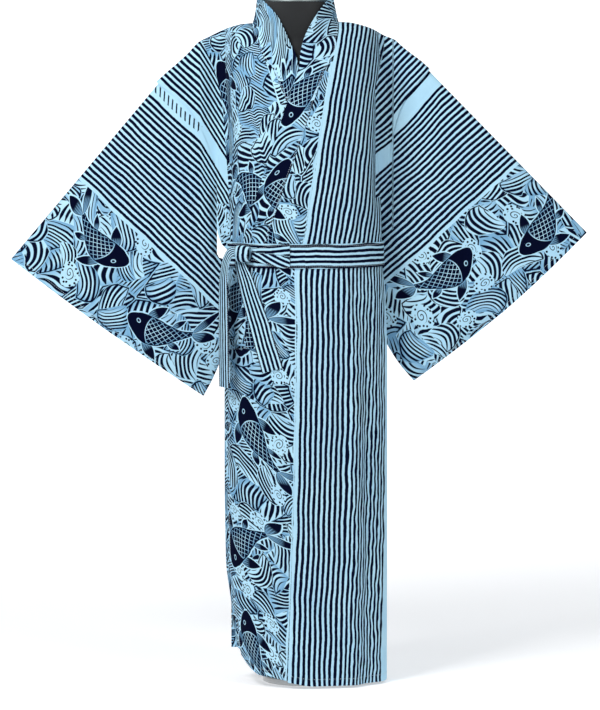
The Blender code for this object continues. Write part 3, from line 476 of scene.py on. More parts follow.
# Carp in the waves: a bent body with a scale lattice, a solid head with a ring
# eye, two pairs of leaf-shaped fins and a forked tail.
CARP_PROFILE = ((0.0, 0.1), (0.03, 0.36), (0.12, 0.68), (0.28, 0.98), (0.42, 1.0), (0.62, 0.74),
                (0.82, 0.36), (1.0, 0.16))
CARP_LONG = 0.146
CARP_NOSE = -0.078
CARP_HALF = 0.03
SCALE_LONG = 0.0138
SCALE_WIDE = 0.0112
FIN_HAIR = 0.0042             # pitch of the pale hairs in the fins
EYE_X = -0.053
EYE_Y = 0.0075
# Fins and tail lobes: x, distance from the middle, lean, half length, half width.
CARP_LEAVES = ((-0.018, 0.039, 0.75, 0.027, 0.01), (0.034, 0.0235, 0.55, 0.0165, 0.0062),
               (0.092, 0.0165, 0.55, 0.03, 0.0098))
carp, put, start, finish = new_group("carp_print", "Shader", ("U", "V"), ("Ink", "Cover", "Wash"))
u, v = start.outputs[:2]
step = put("DIVIDE", v, CARP_STEP)
number = put("FLOOR", step)
dice = put("TexWhiteNoise", number, noise_dimensions="1D")
throws = put("SeparateColor", dice.outputs["Color"])
parity = put("FLOORED_MODULO", number, 2.0)
across = put("MULTIPLY_ADD", throws.outputs[0], 0.04, put("MULTIPLY_ADD", parity, 0.03, 0.068))
along = put("MULTIPLY_ADD", put("FRACT", step), CARP_STEP, -CARP_STEP / 2)
turn = put("MULTIPLY_ADD", parity, math.pi - 0.9, put("MULTIPLY_ADD", throws.outputs[2], 0.5, 0.25))
sine = put("SINE", turn)
cosine = put("COSINE", turn)
side = put("SUBTRACT", u, across)
x = put("ADD", put("MULTIPLY", along, cosine), put("MULTIPLY", side, sine))
y = put("SUBTRACT", put("MULTIPLY", side, cosine), put("MULTIPLY", along, sine))
curl = put("MULTIPLY_ADD", parity, -7.0, 3.5)
y = put("SUBTRACT", y, put("MULTIPLY", put("MULTIPLY", x, x), curl))
beside = put("ABSOLUTE", y)
share = put("MapRange", x, CARP_NOSE, CARP_NOSE + CARP_LONG)
profile = put("FloatCurve", 1.0, share)
line = profile.mapping.curves[0]
while len(line.points) < len(CARP_PROFILE):
    line.points.new(0.5, 0.5)
for point, (place, width) in zip(line.points, CARP_PROFILE):
    point.location = (place, width)
profile.mapping.update()
outside = put("SUBTRACT", beside, put("MULTIPLY", profile, CARP_HALF))
past = put("ABSOLUTE", put("SUBTRACT", x, CARP_NOSE + CARP_LONG / 2))
body = put("MAXIMUM", outside, put("SUBTRACT", past, CARP_LONG / 2))
leaves = None
streaks = None
for leaf_x, leaf_y, lean, leaf_long, leaf_wide in CARP_LEAVES:
    a = put("SUBTRACT", x, leaf_x)
    b = put("SUBTRACT", beside, leaf_y)
    long = put("ADD", put("MULTIPLY", a, math.cos(lean) / leaf_long),
               put("MULTIPLY", b, math.sin(lean) / leaf_long))
    wide = put("SUBTRACT", put("MULTIPLY", b, math.cos(lean)), put("MULTIPLY", a, math.sin(lean)))
    leaf = put("MULTIPLY_ADD", put("MULTIPLY", long, long), leaf_wide,
               put("SUBTRACT", put("ABSOLUTE", wide), leaf_wide))
    hair = put("MapRange", put("PINGPONG", put("MULTIPLY_ADD", wide, 1.0 / FIN_HAIR, 20.25), 0.5), 0.14,
               0.07)
    hair = put("MULTIPLY", hair, put("MapRange", put("SUBTRACT", long, -0.05), 0.1, -0.1))
    hair = put("MAXIMUM", hair, put("MapRange", long, 0.1, -1.0, 0.0, 0.8))
    hair = put("MULTIPLY", hair, put("MapRange", leaf, -0.0008, -0.0014))
    leaves = put("MINIMUM", leaves, leaf) if leaves else leaf
    streaks = put("MAXIMUM", streaks, hair) if streaks else hair
whole = put("MINIMUM", body, leaves)
cover = put("MapRange", whole, 0.0034, 0.0026)
shape_ink = put("MapRange", whole, 0.0006, -0.0002)
one, two = [put("PINGPONG", put("ADD", put("MULTIPLY_ADD", x, 1.0 / SCALE_LONG,
                                           put("MULTIPLY", y, lean / SCALE_WIDE)), 40.0),
                0.5) for lean in (1.0, -1.0)]
scales = put("MapRange", put("MINIMUM", one, two), 0.085, 0.05)
deep = put("MapRange", body, -0.0016, -0.0024)
gill = put("ADD", put("MULTIPLY_ADD", put("MULTIPLY", y, y), -12.0, x), 0.034)
scales = put("MULTIPLY", scales, put("MapRange", gill, 0.001, 0.002))
gill_line = put("MapRange", put("ABSOLUTE", gill), 0.0013, 0.0007)
eye_x = put("SUBTRACT", x, EYE_X)
eye_y = put("SUBTRACT", y, EYE_Y)
eye = put("SQRT", put("ADD", put("MULTIPLY", eye_x, eye_x), put("MULTIPLY", eye_y, eye_y)))
eye = put("MapRange", put("ABSOLUTE", put("SUBTRACT", eye, 0.004)), 0.0012, 0.0006)
parting = put("MapRange", put("ABSOLUTE", put("SUBTRACT", body, 0.0009)), 0.0009, 0.0004)
pale = put("MULTIPLY", put("MAXIMUM", scales, gill_line), deep)
pale = put("MAXIMUM", pale, put("MAXIMUM", eye, parting))
pale = put("MAXIMUM", pale, put("MULTIPLY", streaks, put("MapRange", body, 0.0004, 0.0012)))
ink = put("MULTIPLY", shape_ink, put("SUBTRACT", 1.0, pale))
fade = put("MULTIPLY", put("MapRange", body, -0.022, -0.004), put("MapRange", whole, 0.0006, -0.0002))
feed(finish, {"Ink": ink, "Cover": cover, "Wash": fade})

# The whole width of the roll, from the waves' selvage to the plain one.
roll_print, put, start, finish = new_group("roll_print", "Shader", ("U", "V", "Fineness", "Load"),
                                           ("Ink", "Wash"))
u, v, fineness, load = start.outputs[:4]
wave_node = put("Group", put("MULTIPLY", u, fineness), put("MULTIPLY", v, fineness), load,
                node_tree=waves)
carp_node = put("Group", u, v, node_tree=carp)
picture = put("Mix", carp_node.outputs[1], wave_node.outputs[0], carp_node.outputs[0])
picture_wash = put("Mix", carp_node.outputs[1], wave_node.outputs[1], carp_node.outputs[2])
flat = put("CombineXYZ", u, v, 0.0)
ragged = put("TexNoise", flat, 160.0, 2.0, noise_dimensions="2D")
ragged = put("MULTIPLY_ADD", ragged.outputs[0], 0.0012, -0.0006)
across = put("ADD", u, ragged)
stripe = put("MULTIPLY_ADD", across, 1.0 / STRIPE_PITCH, 40.0 - STRIPES_FROM / STRIPE_PITCH)
stripe = put("PINGPONG", put("ADD", stripe, 0.25), 0.5)
stripe = put("MapRange", stripe, 0.198, 0.24)
in_waves = put("MapRange", across, WAVES_END + 0.0004, WAVES_END - 0.0004)
in_stripes = put("MULTIPLY", put("MapRange", across, STRIPES_FROM - 0.0003, STRIPES_FROM + 0.0003),
                 put("MapRange", across, BAND_FROM + 0.0003, BAND_FROM - 0.0003))
# A row of plain slanted strokes runs in the selvage band of one sleeve's length.
stroke = put("MULTIPLY_ADD", v, 1.0 / STROKE_PITCH, put("MULTIPLY", across, STROKE_SLANT))
stroke = put("MapRange", put("PINGPONG", stroke, 0.5), 0.315, 0.365)
beside = put("ABSOLUTE", put("SUBTRACT", across, STROKE_MIDDLE))
stroke = put("MULTIPLY", stroke, put("MapRange", beside, 0.0092, 0.0084))
stroke = put("MULTIPLY", stroke, put("COMPARE", v, 5.945, 0.068))
striped = put("MAXIMUM", put("MULTIPLY", stripe, in_stripes), stroke)
ink = put("Mix", in_waves, striped, picture)
feed(finish, {"Ink": ink, "Wash": put("MULTIPLY", in_waves, picture_wash)})


def cotton(name, place=None, fineness=1.0, load=0.0):
    """Printed cotton that reads its place on the roll from the UV map, or from a rule of its own."""
    material, put, shader = new_material(name, {"Roughness": 0.88, "Sheen Weight": 0.01,
                                                "Sheen Roughness": 0.5, "Specular IOR Level": 0.04})
    roll = put("UVMap", uv_map="roll")
    u, v = put("SeparateXYZ", roll).outputs[:2]
    if place:
        u, v = place(put, u, v)
    # The cloth isn't quite flat, so the printed lines waver a little.
    flat = put("CombineXYZ", u, v, 0.0)
    waver = put("TexNoise", flat, 9.0, 4.0, noise_dimensions="2D")
    u = put("ADD", u, put("MULTIPLY_ADD", waver.outputs[0], 0.01, -0.005))
    printed = put("Group", u, v, fineness, load, node_tree=roll_print)
    # Uneven take-up of the dye.
    cloudy = put("TexNoise", flat, 9.0, 3.0)
    ground = put("Mix", cloudy, linear(PALE), linear(PALE_SHADE), data_type="RGBA")
    washed = put("Mix", put("MULTIPLY", printed.outputs[1], 0.74), ground.outputs[2], linear(WASH),
                 data_type="RGBA")
    dye = put("Mix", cloudy, linear(NAVY), linear(NAVY_FADED), data_type="RGBA")
    colour = put("Mix", printed.outputs[0], washed.outputs[2], dye.outputs[2], data_type="RGBA")
    # Plain weave drawn at 3 mm, since the real threads are too fine to show.
    warp = put("SINE", put("MULTIPLY", u, 2 * math.pi / WEAVE))
    weft = put("SINE", put("MULTIPLY", v, 2 * math.pi / WEAVE))
    weave_bump = put("Bump", 0.1, 0.0005, None, put("MULTIPLY", warp, weft))
    crumple = put("TexNoise", flat, 20.0, 3.0)
    bump = put("Bump", 0.55, 0.006, None, crumple.outputs[0], weave_bump)
    feed(shader, {"Base Color": colour, "Normal": bump})
    return material


# ------------------------------------------------------------------ sewing thread
# White mercerised cotton thread, faintly mottled by its twist, in running stitches
# that hold the hems, cuffs, collar and the sash's turned edges. They are drawn a
# little coarser than real ones, so that they show.
STITCH_STEP = 0.0048
STITCH_LONG = 0.0032
THREAD_RADIUS = 0.00028
thread = toned("white_cotton_thread", 0.8, 900.0, "#dce9f2", "#b4cbdc")[0]
stitching, put, start, finish = new_group(
    "running_stitch", "Geometry", ("Line:Geometry", "Step", "Length", "Radius", "Thread:Material"),
    ("Stitches:Geometry",))
line = put("MeshToCurve", start.outputs["Line"])
spots = put("CurveToPoints", line, start.outputs["Step"], mode="LENGTH")
stitch = put("MeshCylinder", 5, 1, fill_type="NGON")
feed(stitch, {"Radius": start.outputs["Radius"], "Depth": start.outputs["Length"]})
row = put("InstanceOnPoints", spots, None, stitch.outputs["Mesh"], None, None, spots.outputs["Rotation"])
row = put("RealizeInstances", row)
row = put("SetMaterial", row, None, start.outputs["Thread"])
feed(finish, {"Stitches": row})


def sew(name, lines):
    """Running stitches along lines of points; a line given as a ring is closed."""
    points = []
    edges = []
    for line, ring in lines:
        first = len(points)
        points += [tuple(point) for point in line]
        edges += [(i, i + 1) for i in range(first, len(points) - 1)]
        if ring:
            edges.append((len(points) - 1, first))
    mesh = bpy.data.meshes.new(name)
    mesh.from_pydata(points, edges, [])
    guide = bpy.data.objects.new(name + "_guide", mesh)
    bpy.context.collection.objects.link(guide)
    modifier = guide.modifiers.new("stitches", "NODES")
    modifier.node_group = stitching
    values = {"Step": STITCH_STEP, "Length": STITCH_LONG, "Radius": THREAD_RADIUS, "Thread": thread}
    for socket in stitching.interface.items_tree:
        if socket.name in values:
            modifier[socket.identifier] = values[socket.name]
    bpy.context.view_layer.update()
    mesh = bpy.data.meshes.new_from_object(guide.evaluated_get(bpy.context.evaluated_depsgraph_get()))
    bpy.data.objects.remove(guide)
    mesh.name = name
    return new_piece(name, mesh)


# ------------------------------------------------------------------ body widths
# One cotton width on each side, from the front hem over the shoulder to the back
# hem, sewn to the other at the centre back and shut at the sides below the arms.
WALL = 0.0018                 # one thickness of the cotton
LAYER = 0.0034                # a wall and the air under the next one
HEM = 0.006
HEM_FADE = 0.6                # height up to which the cloth follows the rising hem
HEM_LEVELS = [0.0, 0.0012, 0.004, 0.009, 0.0155, 0.0165]
SHOULDER_V = 1.45             # place of the shoulder line along the roll
LEFT_BODY_U = 0.2055          # where each body width was cut from the roll
RIGHT_BODY_U = -0.03
RIGHT_SKIRT_U = 0.175         # the right skirt shows the roll's waves
SLEEVE_V = 7.0
# The sleeves' own directions across and along the cloth, as they hang.
LEFT_ARM_ACROSS = (0.673, 0.0, -0.74)
LEFT_ARM_ALONG = (0.74, 0.0, 0.673)
RIGHT_ARM_ACROSS = (0.682, 0.0, 0.731)
RIGHT_ARM_ALONG = (0.731, 0.0, -0.682)
SKIRT_TOP = 0.935
SKIRT_SQUEEZE = 0.24          # the stripes lie closer beyond the skirt's long fold
SKIRT_SQUEEZE_FROM = 0.118
LOWER_LEVELS = np.concatenate((HEM_LEVELS, np.linspace(0.026, 1.1, 100)))
UPPER_STEPS = np.linspace(1.0, 0.0, 48)[1:-1]
BODY_SHARES = np.concatenate(([0.0, 0.002, 0.008], np.linspace(0.018, 0.982, 62), [0.992, 0.998, 1.0]))
BACK_NECK_ROWS = ((1.397, 0.0), (1.406, 0.034), (1.4165, 0.06), (1.4275, 0.083), (1.437, 0.094))
NECK_BLEND_FROM = 1.3
NECK_BLEND_RUN = 0.1
# Armhole seam and the web of cloth under it: height, plus side, minus side.
ARMHOLE_ROWS = (
    (0.938, 0.15, 0.157), (0.962, 0.15, 0.179), (1.0, 0.155, 0.1875), (1.045, 0.16, 0.1875),
    (1.1, 0.184, 0.1875), (1.17, 0.192, 0.206), (1.244, 0.21, 0.244), (1.309, 0.252, 0.3195),
    (1.337, 0.277, 0.352), (1.45, 0.4, 0.48),
)
# Inner edge of each body front: height, left, right.
FRONT_EDGE_ROWS = (
    (0.0, -0.0327, 0.043), (0.616, -0.015, 0.025), (0.9, -0.013, 0.023), (0.965, 0.0, 0.01),
    (1.27, 0.048, -0.054), (1.35, 0.062, -0.078), (1.434, 0.0775, -0.1105), (1.45, 0.0775, -0.1105),
)
# The hem rises towards the corner of the overlap: angle, rise.
HEM_RISE_ROWS = (
    (-180.0, 0.0), (-150.0, 0.018), (-128.0, 0.044), (-110.0, 0.06), (-84.0, 0.068), (-70.0, 0.058),
    (-62.0, 0.042), (-54.0, 0.028), (-46.0, 0.02), (-31.0, 0.017), (-20.0, 0.013), (-8.0, 0.006),
    (6.0, 0.0), (180.0, 0.0),
)
# Large soft folds: angle, lower end, upper end, half width in degrees, lift.
FOLD_ROWS = (
    (36.0, 0.0, 0.86, 6.5, 0.006), (51.0, 0.0, 0.84, 7.0, -0.0045), (69.0, 0.0, 0.76, 8.0, 0.0035),
    (14.0, 0.0, 0.56, 9.0, -0.0022), (-48.0, 0.12, 0.62, 12.0, 0.0045), (-30.0, 0.05, 0.7, 8.0, -0.003),
    (112.0, 0.0, 0.8, 13.0, 0.0045), (140.0, 0.0, 0.86, 14.0, -0.0025), (165.0, 0.0, 0.72, 12.0, 0.0035),
    (-125.0, 0.0, 0.82, 14.0, 0.0045), (-152.0, 0.0, 0.76, 12.0, -0.0025), (48.0, 1.0, 1.28, 11.0, 0.003),
    (150.0, 1.0, 1.32, 16.0, 0.003), (-148.0, 1.0, 1.34, 16.0, 0.003),
)
# Upright tucks in the spare shoulder cloth: across, lower, upper, half width, lift.
TUCK_ROWS = ((0.196, 1.185, 1.425, 0.015, 0.006), (-0.222, 1.215, 1.425, 0.015, 0.006))
# Creases placed one by one: face, from x and z, to x and z, half width, lift.
CREASE_ROWS = (
    (-1, 0.134, 0.87, 0.14, 0.06, 0.009, -0.0036), (-1, 0.168, 0.88, 0.163, 0.27, 0.0075, -0.002),
    (-1, 0.112, 0.86, 0.104, 0.33, 0.0095, 0.003), (-1, 0.082, 0.7, 0.086, 0.12, 0.011, -0.0028),
    (-1, 0.02, 0.56, 0.012, 0.09, 0.012, 0.0012), (-1, -0.04, 0.64, -0.052, 0.2, 0.012, -0.0014),
    (-1, -0.092, 0.7, -0.112, 0.24, 0.011, 0.0016), (-1, -0.128, 0.66, -0.14, 0.19, 0.008, -0.0018),
    (-1, 0.072, 1.06, 0.068, 0.972, 0.006, 0.0022), (-1, 0.086, 1.048, 0.09, 0.972, 0.0055, -0.0024),
    (-1, 0.101, 1.072, 0.108, 0.974, 0.0065, 0.0024), (-1, 0.124, 1.04, 0.126, 0.974, 0.0055, -0.002),
    (-1, 0.04, 1.024, 0.034, 0.972, 0.005, 0.0016), (-1, -0.03, 1.04, -0.024, 0.972, 0.0055, -0.0018),
    (-1, -0.06, 1.07, -0.07, 0.974, 0.0065, 0.0022), (-1, -0.102, 1.05, -0.094, 0.974, 0.006, -0.002),
    (-1, 0.015, 0.905, 0.019, 0.78, 0.007, -0.002), (-1, 0.041, 0.905, 0.047, 0.83, 0.006, 0.0018),
    (-1, 0.065, 0.905, 0.072, 0.762, 0.0075, -0.0022), (-1, 0.088, 0.905, 0.094, 0.815, 0.006, 0.002),
    (-1, 0.106, 0.905, 0.116, 0.77, 0.008, -0.0024), (-1, 0.149, 0.905, 0.154, 0.79, 0.006, 0.0016),
    (-1, -0.032, 0.905, -0.03, 0.8, 0.0065, -0.0016), (-1, -0.07, 0.905, -0.06, 0.77, 0.007, -0.002),
    (-1, -0.14, 0.905, -0.146, 0.8, 0.006, -0.0016), (-1, 0.157, 1.33, 0.161, 0.98, 0.0095, -0.0058),
    (-1, 0.172, 1.24, 0.176, 1.0, 0.007, 0.0056), (-1, 0.11, 1.28, 0.124, 1.08, 0.011, -0.0018),
    (-1, 0.088, 1.36, 0.092, 1.21, 0.01, 0.0014), (-1, -0.158, 1.32, -0.161, 0.985, 0.009, -0.0048),
    (-1, -0.178, 1.22, -0.174, 1.005, 0.007, 0.0056), (-1, -0.112, 1.26, -0.124, 1.06, 0.011, -0.0016),
    (-1, -0.196, 1.33, -0.206, 1.17, 0.0085, -0.0022), (-1, 0.232, 1.35, 0.216, 1.25, 0.007, -0.0014),
    (-1, -0.14, 0.622, 0.168, 0.622, 0.0026, -0.0011), (-1, -0.128, 0.129, 0.168, 0.129, 0.0026, -0.0011),
    (-1, -0.14, 0.376, 0.168, 0.376, 0.0024, 0.0007), (1, 0.14, 0.86, 0.146, 0.11, 0.01, -0.0022),
    (1, 0.06, 0.82, 0.066, 0.2, 0.013, 0.0016), (1, 0.018, 0.7, 0.026, 0.08, 0.011, -0.0014),
    (1, -0.07, 0.85, -0.062, 0.18, 0.012, -0.0018), (1, -0.116, 0.76, -0.13, 0.12, 0.01, 0.002),
    (1, -0.148, 0.85, -0.146, 0.33, 0.008, -0.0018), (1, 0.03, 0.905, 0.036, 0.8, 0.0065, -0.0018),
    (1, 0.086, 0.905, 0.092, 0.78, 0.0075, -0.002), (1, 0.112, 0.905, 0.12, 0.82, 0.006, 0.0016),
    (1, -0.034, 0.905, -0.04, 0.79, 0.007, -0.002), (1, -0.09, 0.905, -0.096, 0.81, 0.0065, 0.0018),
    (1, 0.05, 1.07, 0.044, 0.974, 0.0065, 0.002), (1, 0.08, 1.05, 0.086, 0.974, 0.006, -0.0022),
    (1, 0.118, 1.08, 0.112, 0.974, 0.0065, 0.002), (1, -0.024, 1.04, -0.02, 0.974, 0.0055, -0.0016),
    (1, -0.066, 1.08, -0.072, 0.974, 0.007, 0.0022), (1, -0.104, 1.056, -0.098, 0.974, 0.006, -0.002),
    (1, 0.154, 1.31, 0.16, 1.0, 0.01, -0.0032), (1, -0.154, 1.3, -0.16, 0.99, 0.01, -0.0032),
    (1, 0.096, 1.3, 0.108, 1.09, 0.012, -0.0018), (1, -0.09, 1.31, -0.104, 1.08, 0.012, -0.0016),
    (1, 0.01, 1.28, 0.014, 1.06, 0.013, 0.0016), (1, -0.165, 0.376, 0.168, 0.376, 0.0026, -0.001),
    (1, -0.15, 0.129, 0.168, 0.129, 0.0026, 0.0009), (1, 0.23, 1.34, 0.212, 1.22, 0.008, -0.0018),
    (1, -0.23, 1.33, -0.214, 1.19, 0.008, -0.0018),
)
ARMHOLE = curves(ARMHOLE_ROWS)
FRONT_EDGE = curves(FRONT_EDGE_ROWS)
BACK_NECK = curves(BACK_NECK_ROWS)
HEM_RISE = curves(HEM_RISE_ROWS)


def layer_gap(height):
    """Half the space between the two layers beside the trunk."""
    opening = smoothstep((height - (ARMHOLE_END - 0.05)) / 0.05)
    return SEAM + (SLEEVE_HOLLOW - SEAM) * opening


def cloth_at(face, across, depth, height):
    """Points of the trunk surface, front (face -1) or back (face +1)."""
    across, depth, height = np.broadcast_arrays(across, depth, height)
    drop = ridge(across) - height
    body = depth * round_over(drop / SHOULDER_ROUND)
    empty = layer_gap(height) * round_over(drop / FOLD_ROUND)
    return np.stack([across, arm_shift(across, height) + face * np.hypot(body, empty), height], axis=-1)


def trunk_point(angle, height):
    """The trunk surface by the angle from its middle front, + towards +X."""
    turn = np.radians(angle)
    side = np.where(np.sin(turn) >= 0, 1, -1)
    face = np.where(np.cos(turn) >= 0, -1, 1)
    across = trunk_middle(height) + trunk_reach(side, height) * np.sin(turn)
    return cloth_at(face, across, trunk_depth(face, height) * np.abs(np.cos(turn)), height)


def angle_at(across, height):
    """The angle of a front point from its place across."""
    offset = across - trunk_middle(height)
    return np.degrees(np.arcsin(np.clip(offset / trunk_reach(np.sign(offset), height), -1.0, 1.0)))


def settle(height, angle):
    """A height up the cloth, raised near the hem as the hem rises."""
    wrapped = (angle + 180.0) % 360.0 - 180.0
    return height + (HEM + read(HEM_RISE, 1, wrapped)) * np.clip(1.0 - height / HEM_FADE, 0.0, 1.0)


def swell(away, height, low, high):
    """A soft fold's share of its lift: full at its middle line, none at its upper and lower ends."""
    middle = (low + high) / 2.0
    rise = np.clip(1.0 - ((height - middle) / ((high - low) / 2.0)) ** 2, 0.0, 1.0)
    rise = np.where((low == 0.0) & (height < middle), 1.0, rise)
    return np.exp(-away * away) * rise


def crease(across, height, row, waver, waves, fade, number):
    """A crease's lift: a line that wavers a little, each in its own way, and fades to both ends."""
    x0, z0, x1, z1, half_width, lift = row
    run = math.hypot(x1 - x0, z1 - z0)
    along = ((across - x0) * (x1 - x0) + (height - z0) * (z1 - z0)) / run ** 2
    off = ((across - x0) * (z1 - z0) - (height - z0) * (x1 - x0)) / run
    off = off + waver * half_width * np.sin(waves * along + number)
    taper = smoothstep(along / fade) * smoothstep((1.0 - along) / 0.3)
    return lift * np.exp(-(off / half_width) ** 2) * taper


def fold_lift(points):
    """Height of the folds and creases at points of the trunk."""
    across, depth, height = np.moveaxis(points, -1, 0)
    face = np.where(depth - arm_shift(across, height) < 0, -1, 1)
    offset = across - trunk_middle(height)
    sideways = offset / trunk_reach(np.sign(offset), height)
    angle = np.degrees(np.arctan2(sideways, -depth / trunk_depth(np.where(depth < 0, -1, 1), height)))
    total = np.zeros(across.shape)
    for turn, low, high, half_width, lift in FOLD_ROWS:
        total += lift * swell(((angle - turn + 180.0) % 360.0 - 180.0) / half_width, height, low, high)
    for number, (side, *row) in enumerate(CREASE_ROWS):
        waves = 23.0 * math.hypot(row[2] - row[0], row[3] - row[1])
        total += np.where(face == side, crease(across, height, row, 0.18, waves, 0.22, number), 0.0)
    return total


def tuck_lift(points):
    """Height of the upright tucks at points of the shoulder cloth."""
    across, _, height = np.moveaxis(points, -1, 0)
    return sum(lift * swell((across - middle) / half_width, height, low, high)
               for middle, low, high, half_width, lift in TUCK_ROWS)


def over_lift(points):
    """The left front lies over the right one, below the neck and in front."""
    down = smoothstep((1.41 - points[..., 2]) / 0.06)
    behind = points[..., 1] - arm_shift(points[..., 0], points[..., 2])
    return LAYER * down * smoothstep((0.01 - behind) / 0.035)


OUTSIDE = {}                  # outer face of each cloth piece, for its sewing
SEWN_ABOVE = 0.0002


def cloth_piece(name, material, grid, lift, roll, wall=WALL, closed=False, around_trunk=True):
    """A closed thin wall on a grid, with its place on the roll as the UV map."""
    rows, columns = grid.shape[:2]
    if closed:
        along = np.roll(grid, -1, axis=1) - np.roll(grid, 1, axis=1)
    else:
        along = np.gradient(grid, axis=1)
    normals = np.cross(along, np.gradient(grid, axis=0))
    normals /= np.maximum(np.linalg.norm(normals, axis=2), 1e-12)[:, :, None]
    middle = np.zeros(3) if around_trunk else grid.mean(axis=1, keepdims=True)
    away = (grid - middle) * (1.0, 1.0, 0.0 if around_trunk else 1.0)
    sign = np.sign(np.sum(normals * away))
    lift = np.broadcast_to(np.asarray(lift, dtype=float), (rows, columns))
    wall = np.broadcast_to(np.asarray(wall, dtype=float), (rows, columns))
    inner = grid + sign * normals * lift[:, :, None]
    outer = inner + sign * normals * wall[:, :, None]
    step, edge = np.arange(rows - 1), np.arange(columns if closed else columns - 1)
    r, c = [part.ravel() for part in np.meshgrid(step, edge, indexing="ij")]
    top, end = 0 * edge, 0 * edge + rows - 1
    quads = [[(1, r, c), (1, r, c + 1), (1, r + 1, c + 1), (1, r + 1, c)],
             [(0, r, c), (0, r + 1, c), (0, r + 1, c + 1), (0, r, c + 1)],
             [(1, top, edge), (0, top, edge), (0, top, edge + 1), (1, top, edge + 1)],
             [(1, end, edge), (1, end, edge + 1), (0, end, edge + 1), (0, end, edge)]]
    if not closed:
        left, right = 0 * step, 0 * step + columns - 1
        quads += [[(1, step, left), (1, step + 1, left), (0, step + 1, left), (0, step, left)],
                  [(1, step, right), (0, step, right), (0, step + 1, right), (1, step + 1, right)]]
    faces = []
    places = []
    for corners in quads:
        if sign < 0:
            corners = corners[::-1]
        faces.append(np.stack([layer * rows * columns + row * columns + column % columns
                               for layer, row, column in corners], axis=1))
        places.append(np.stack([roll[row, column] for _, row, column in corners], axis=1))
    OUTSIDE[name] = outer + sign * normals * SEWN_ABOVE
    mesh = bpy.data.meshes.new(name)
    points = np.concatenate([inner.reshape(-1, 3), outer.reshape(-1, 3)])
    mesh.from_pydata(points.tolist(), [], np.concatenate(faces).tolist())
    layer = mesh.uv_layers.new(name="roll")
    layer.data.foreach_set("uv", np.concatenate(places).astype(np.float32).ravel())
    return new_piece(name, mesh, material, sharp=60.0)


def inner_edge(side, face, height):
    """Where a body strip's inner edge lies across."""
    front = read_side(FRONT_EDGE, side, height) + side * SEAM / 2
    share = smoothstep((height - NECK_BLEND_FROM) / NECK_BLEND_RUN)
    middle = trunk_middle(height) * (1.0 - share) + NECK_MIDDLE * share
    back = middle + side * (read(BACK_NECK, 1, height) + SEAM / 2)
    return front if face < 0 else back


def strip_position(side, face, height, share):
    """Across, depth and distance from the inner edge at a share of the strip, and the whole width."""
    height, share = np.broadcast_arrays(height, share)
    middle = trunk_middle(height)
    reach = trunk_reach(side, height)
    depth = trunk_depth(face, height)
    start = np.arcsin(np.clip((inner_edge(side, face, height) - middle) * side / reach, -1.0, 1.0))
    angles = start[..., None] + (math.pi / 2 - start[..., None]) * np.linspace(0.0, 1.0, 40)
    steps = np.hypot(np.diff(reach[..., None] * np.sin(angles)),
                     np.diff(depth[..., None] * np.cos(angles)))
    lengths = np.insert(np.cumsum(steps, axis=-1), 0, 0.0, axis=-1)
    seam = read_side(ARMHOLE, side, height)
    whole = lengths[..., -1] + np.clip(seam - (middle * side + reach), 0.0, None)
    place = share * whole
    index = np.clip(np.sum(lengths <= place[..., None], axis=-1) - 1, 0, 38)[..., None]
    low, high, angle, after = [np.take_along_axis(values, index + i, -1)[..., 0]
                               for values in (lengths, angles) for i in (0, 1)]
    angle = angle + np.clip((place - low) / np.maximum(high - low, 1e-9), 0.0, 1.0) * (after - angle)
    beyond = np.clip(place - lengths[..., -1], 0.0, None)
    across = middle + side * (reach * np.sin(angle) + beyond)
    return across, np.where(beyond > 0, 0.0, depth * np.cos(angle)), place, whole


def ridge_position(side, face, share):
    """Where a column of the strip crosses the shoulder's top line."""
    near = np.zeros(share.shape)
    far = np.full(share.shape, RIDGE_ROWS[-1][0])
    for _ in range(30):
        reach = (near + far) / 2
        across = strip_position(side, face, ridge(side * reach), share)[0]
        inside = side * across > reach
        near = np.where(inside, reach, near)
        far = np.where(inside, far, reach)
    return side * (near + far) / 2


def body_half(side, face):
    """Points of all columns from the hem to just under the shoulder line, with their place across."""
    level, share = np.meshgrid(LOWER_LEVELS, BODY_SHARES, indexing="ij")
    across, depth, _, _ = strip_position(side, face, level, share)
    sideways = (across - trunk_middle(level)) / trunk_reach(side, level)
    angle = np.degrees(np.arctan2(sideways, -face * depth / trunk_depth(face, level)))
    lower = settle(level, angle)
    top = ridge(ridge_position(side, face, BODY_SHARES))
    upper = top[None, :] - (top[None, :] - ARMHOLE_END) * UPPER_STEPS[:, None] ** 2
    height = np.concatenate([lower, upper])
    share = np.broadcast_to(BODY_SHARES, height.shape)
    across, depth, place, whole = strip_position(side, face, height, share)
    return cloth_at(face, across, depth, height), place, whole


def body_grid(side):
    """The strip's grid, its distance from the inner edge and its width."""
    front, front_place, front_whole = body_half(side, -1)
    back, back_place, back_whole = body_half(side, 1)
    crossing = (ridge_position(side, -1, BODY_SHARES) + ridge_position(side, 1, BODY_SHARES)) / 2
    top = np.stack([crossing, arm_shift(crossing, ridge(crossing)), ridge(crossing)], axis=-1)
    grid = np.concatenate([front, top[None], back[::-1]])
    place = np.concatenate([front_place, front_place[-1:], back_place[::-1]])
    whole = np.concatenate([front_whole, front_whole[-1:], back_whole[::-1]])
    return grid, place, whole


def run_along(grid, axis=0):
    """Distance along a grid's columns (axis 0) or rows (axis 1) from their start."""
    steps = np.linalg.norm(np.diff(grid, axis=axis), axis=2)
    return np.insert(np.cumsum(steps, axis=axis), 0, 0.0, axis=axis)


def lengthwise(grid, row):
    """Distance down the grid's columns from one row."""
    run = run_along(grid)
    return run - run[row]


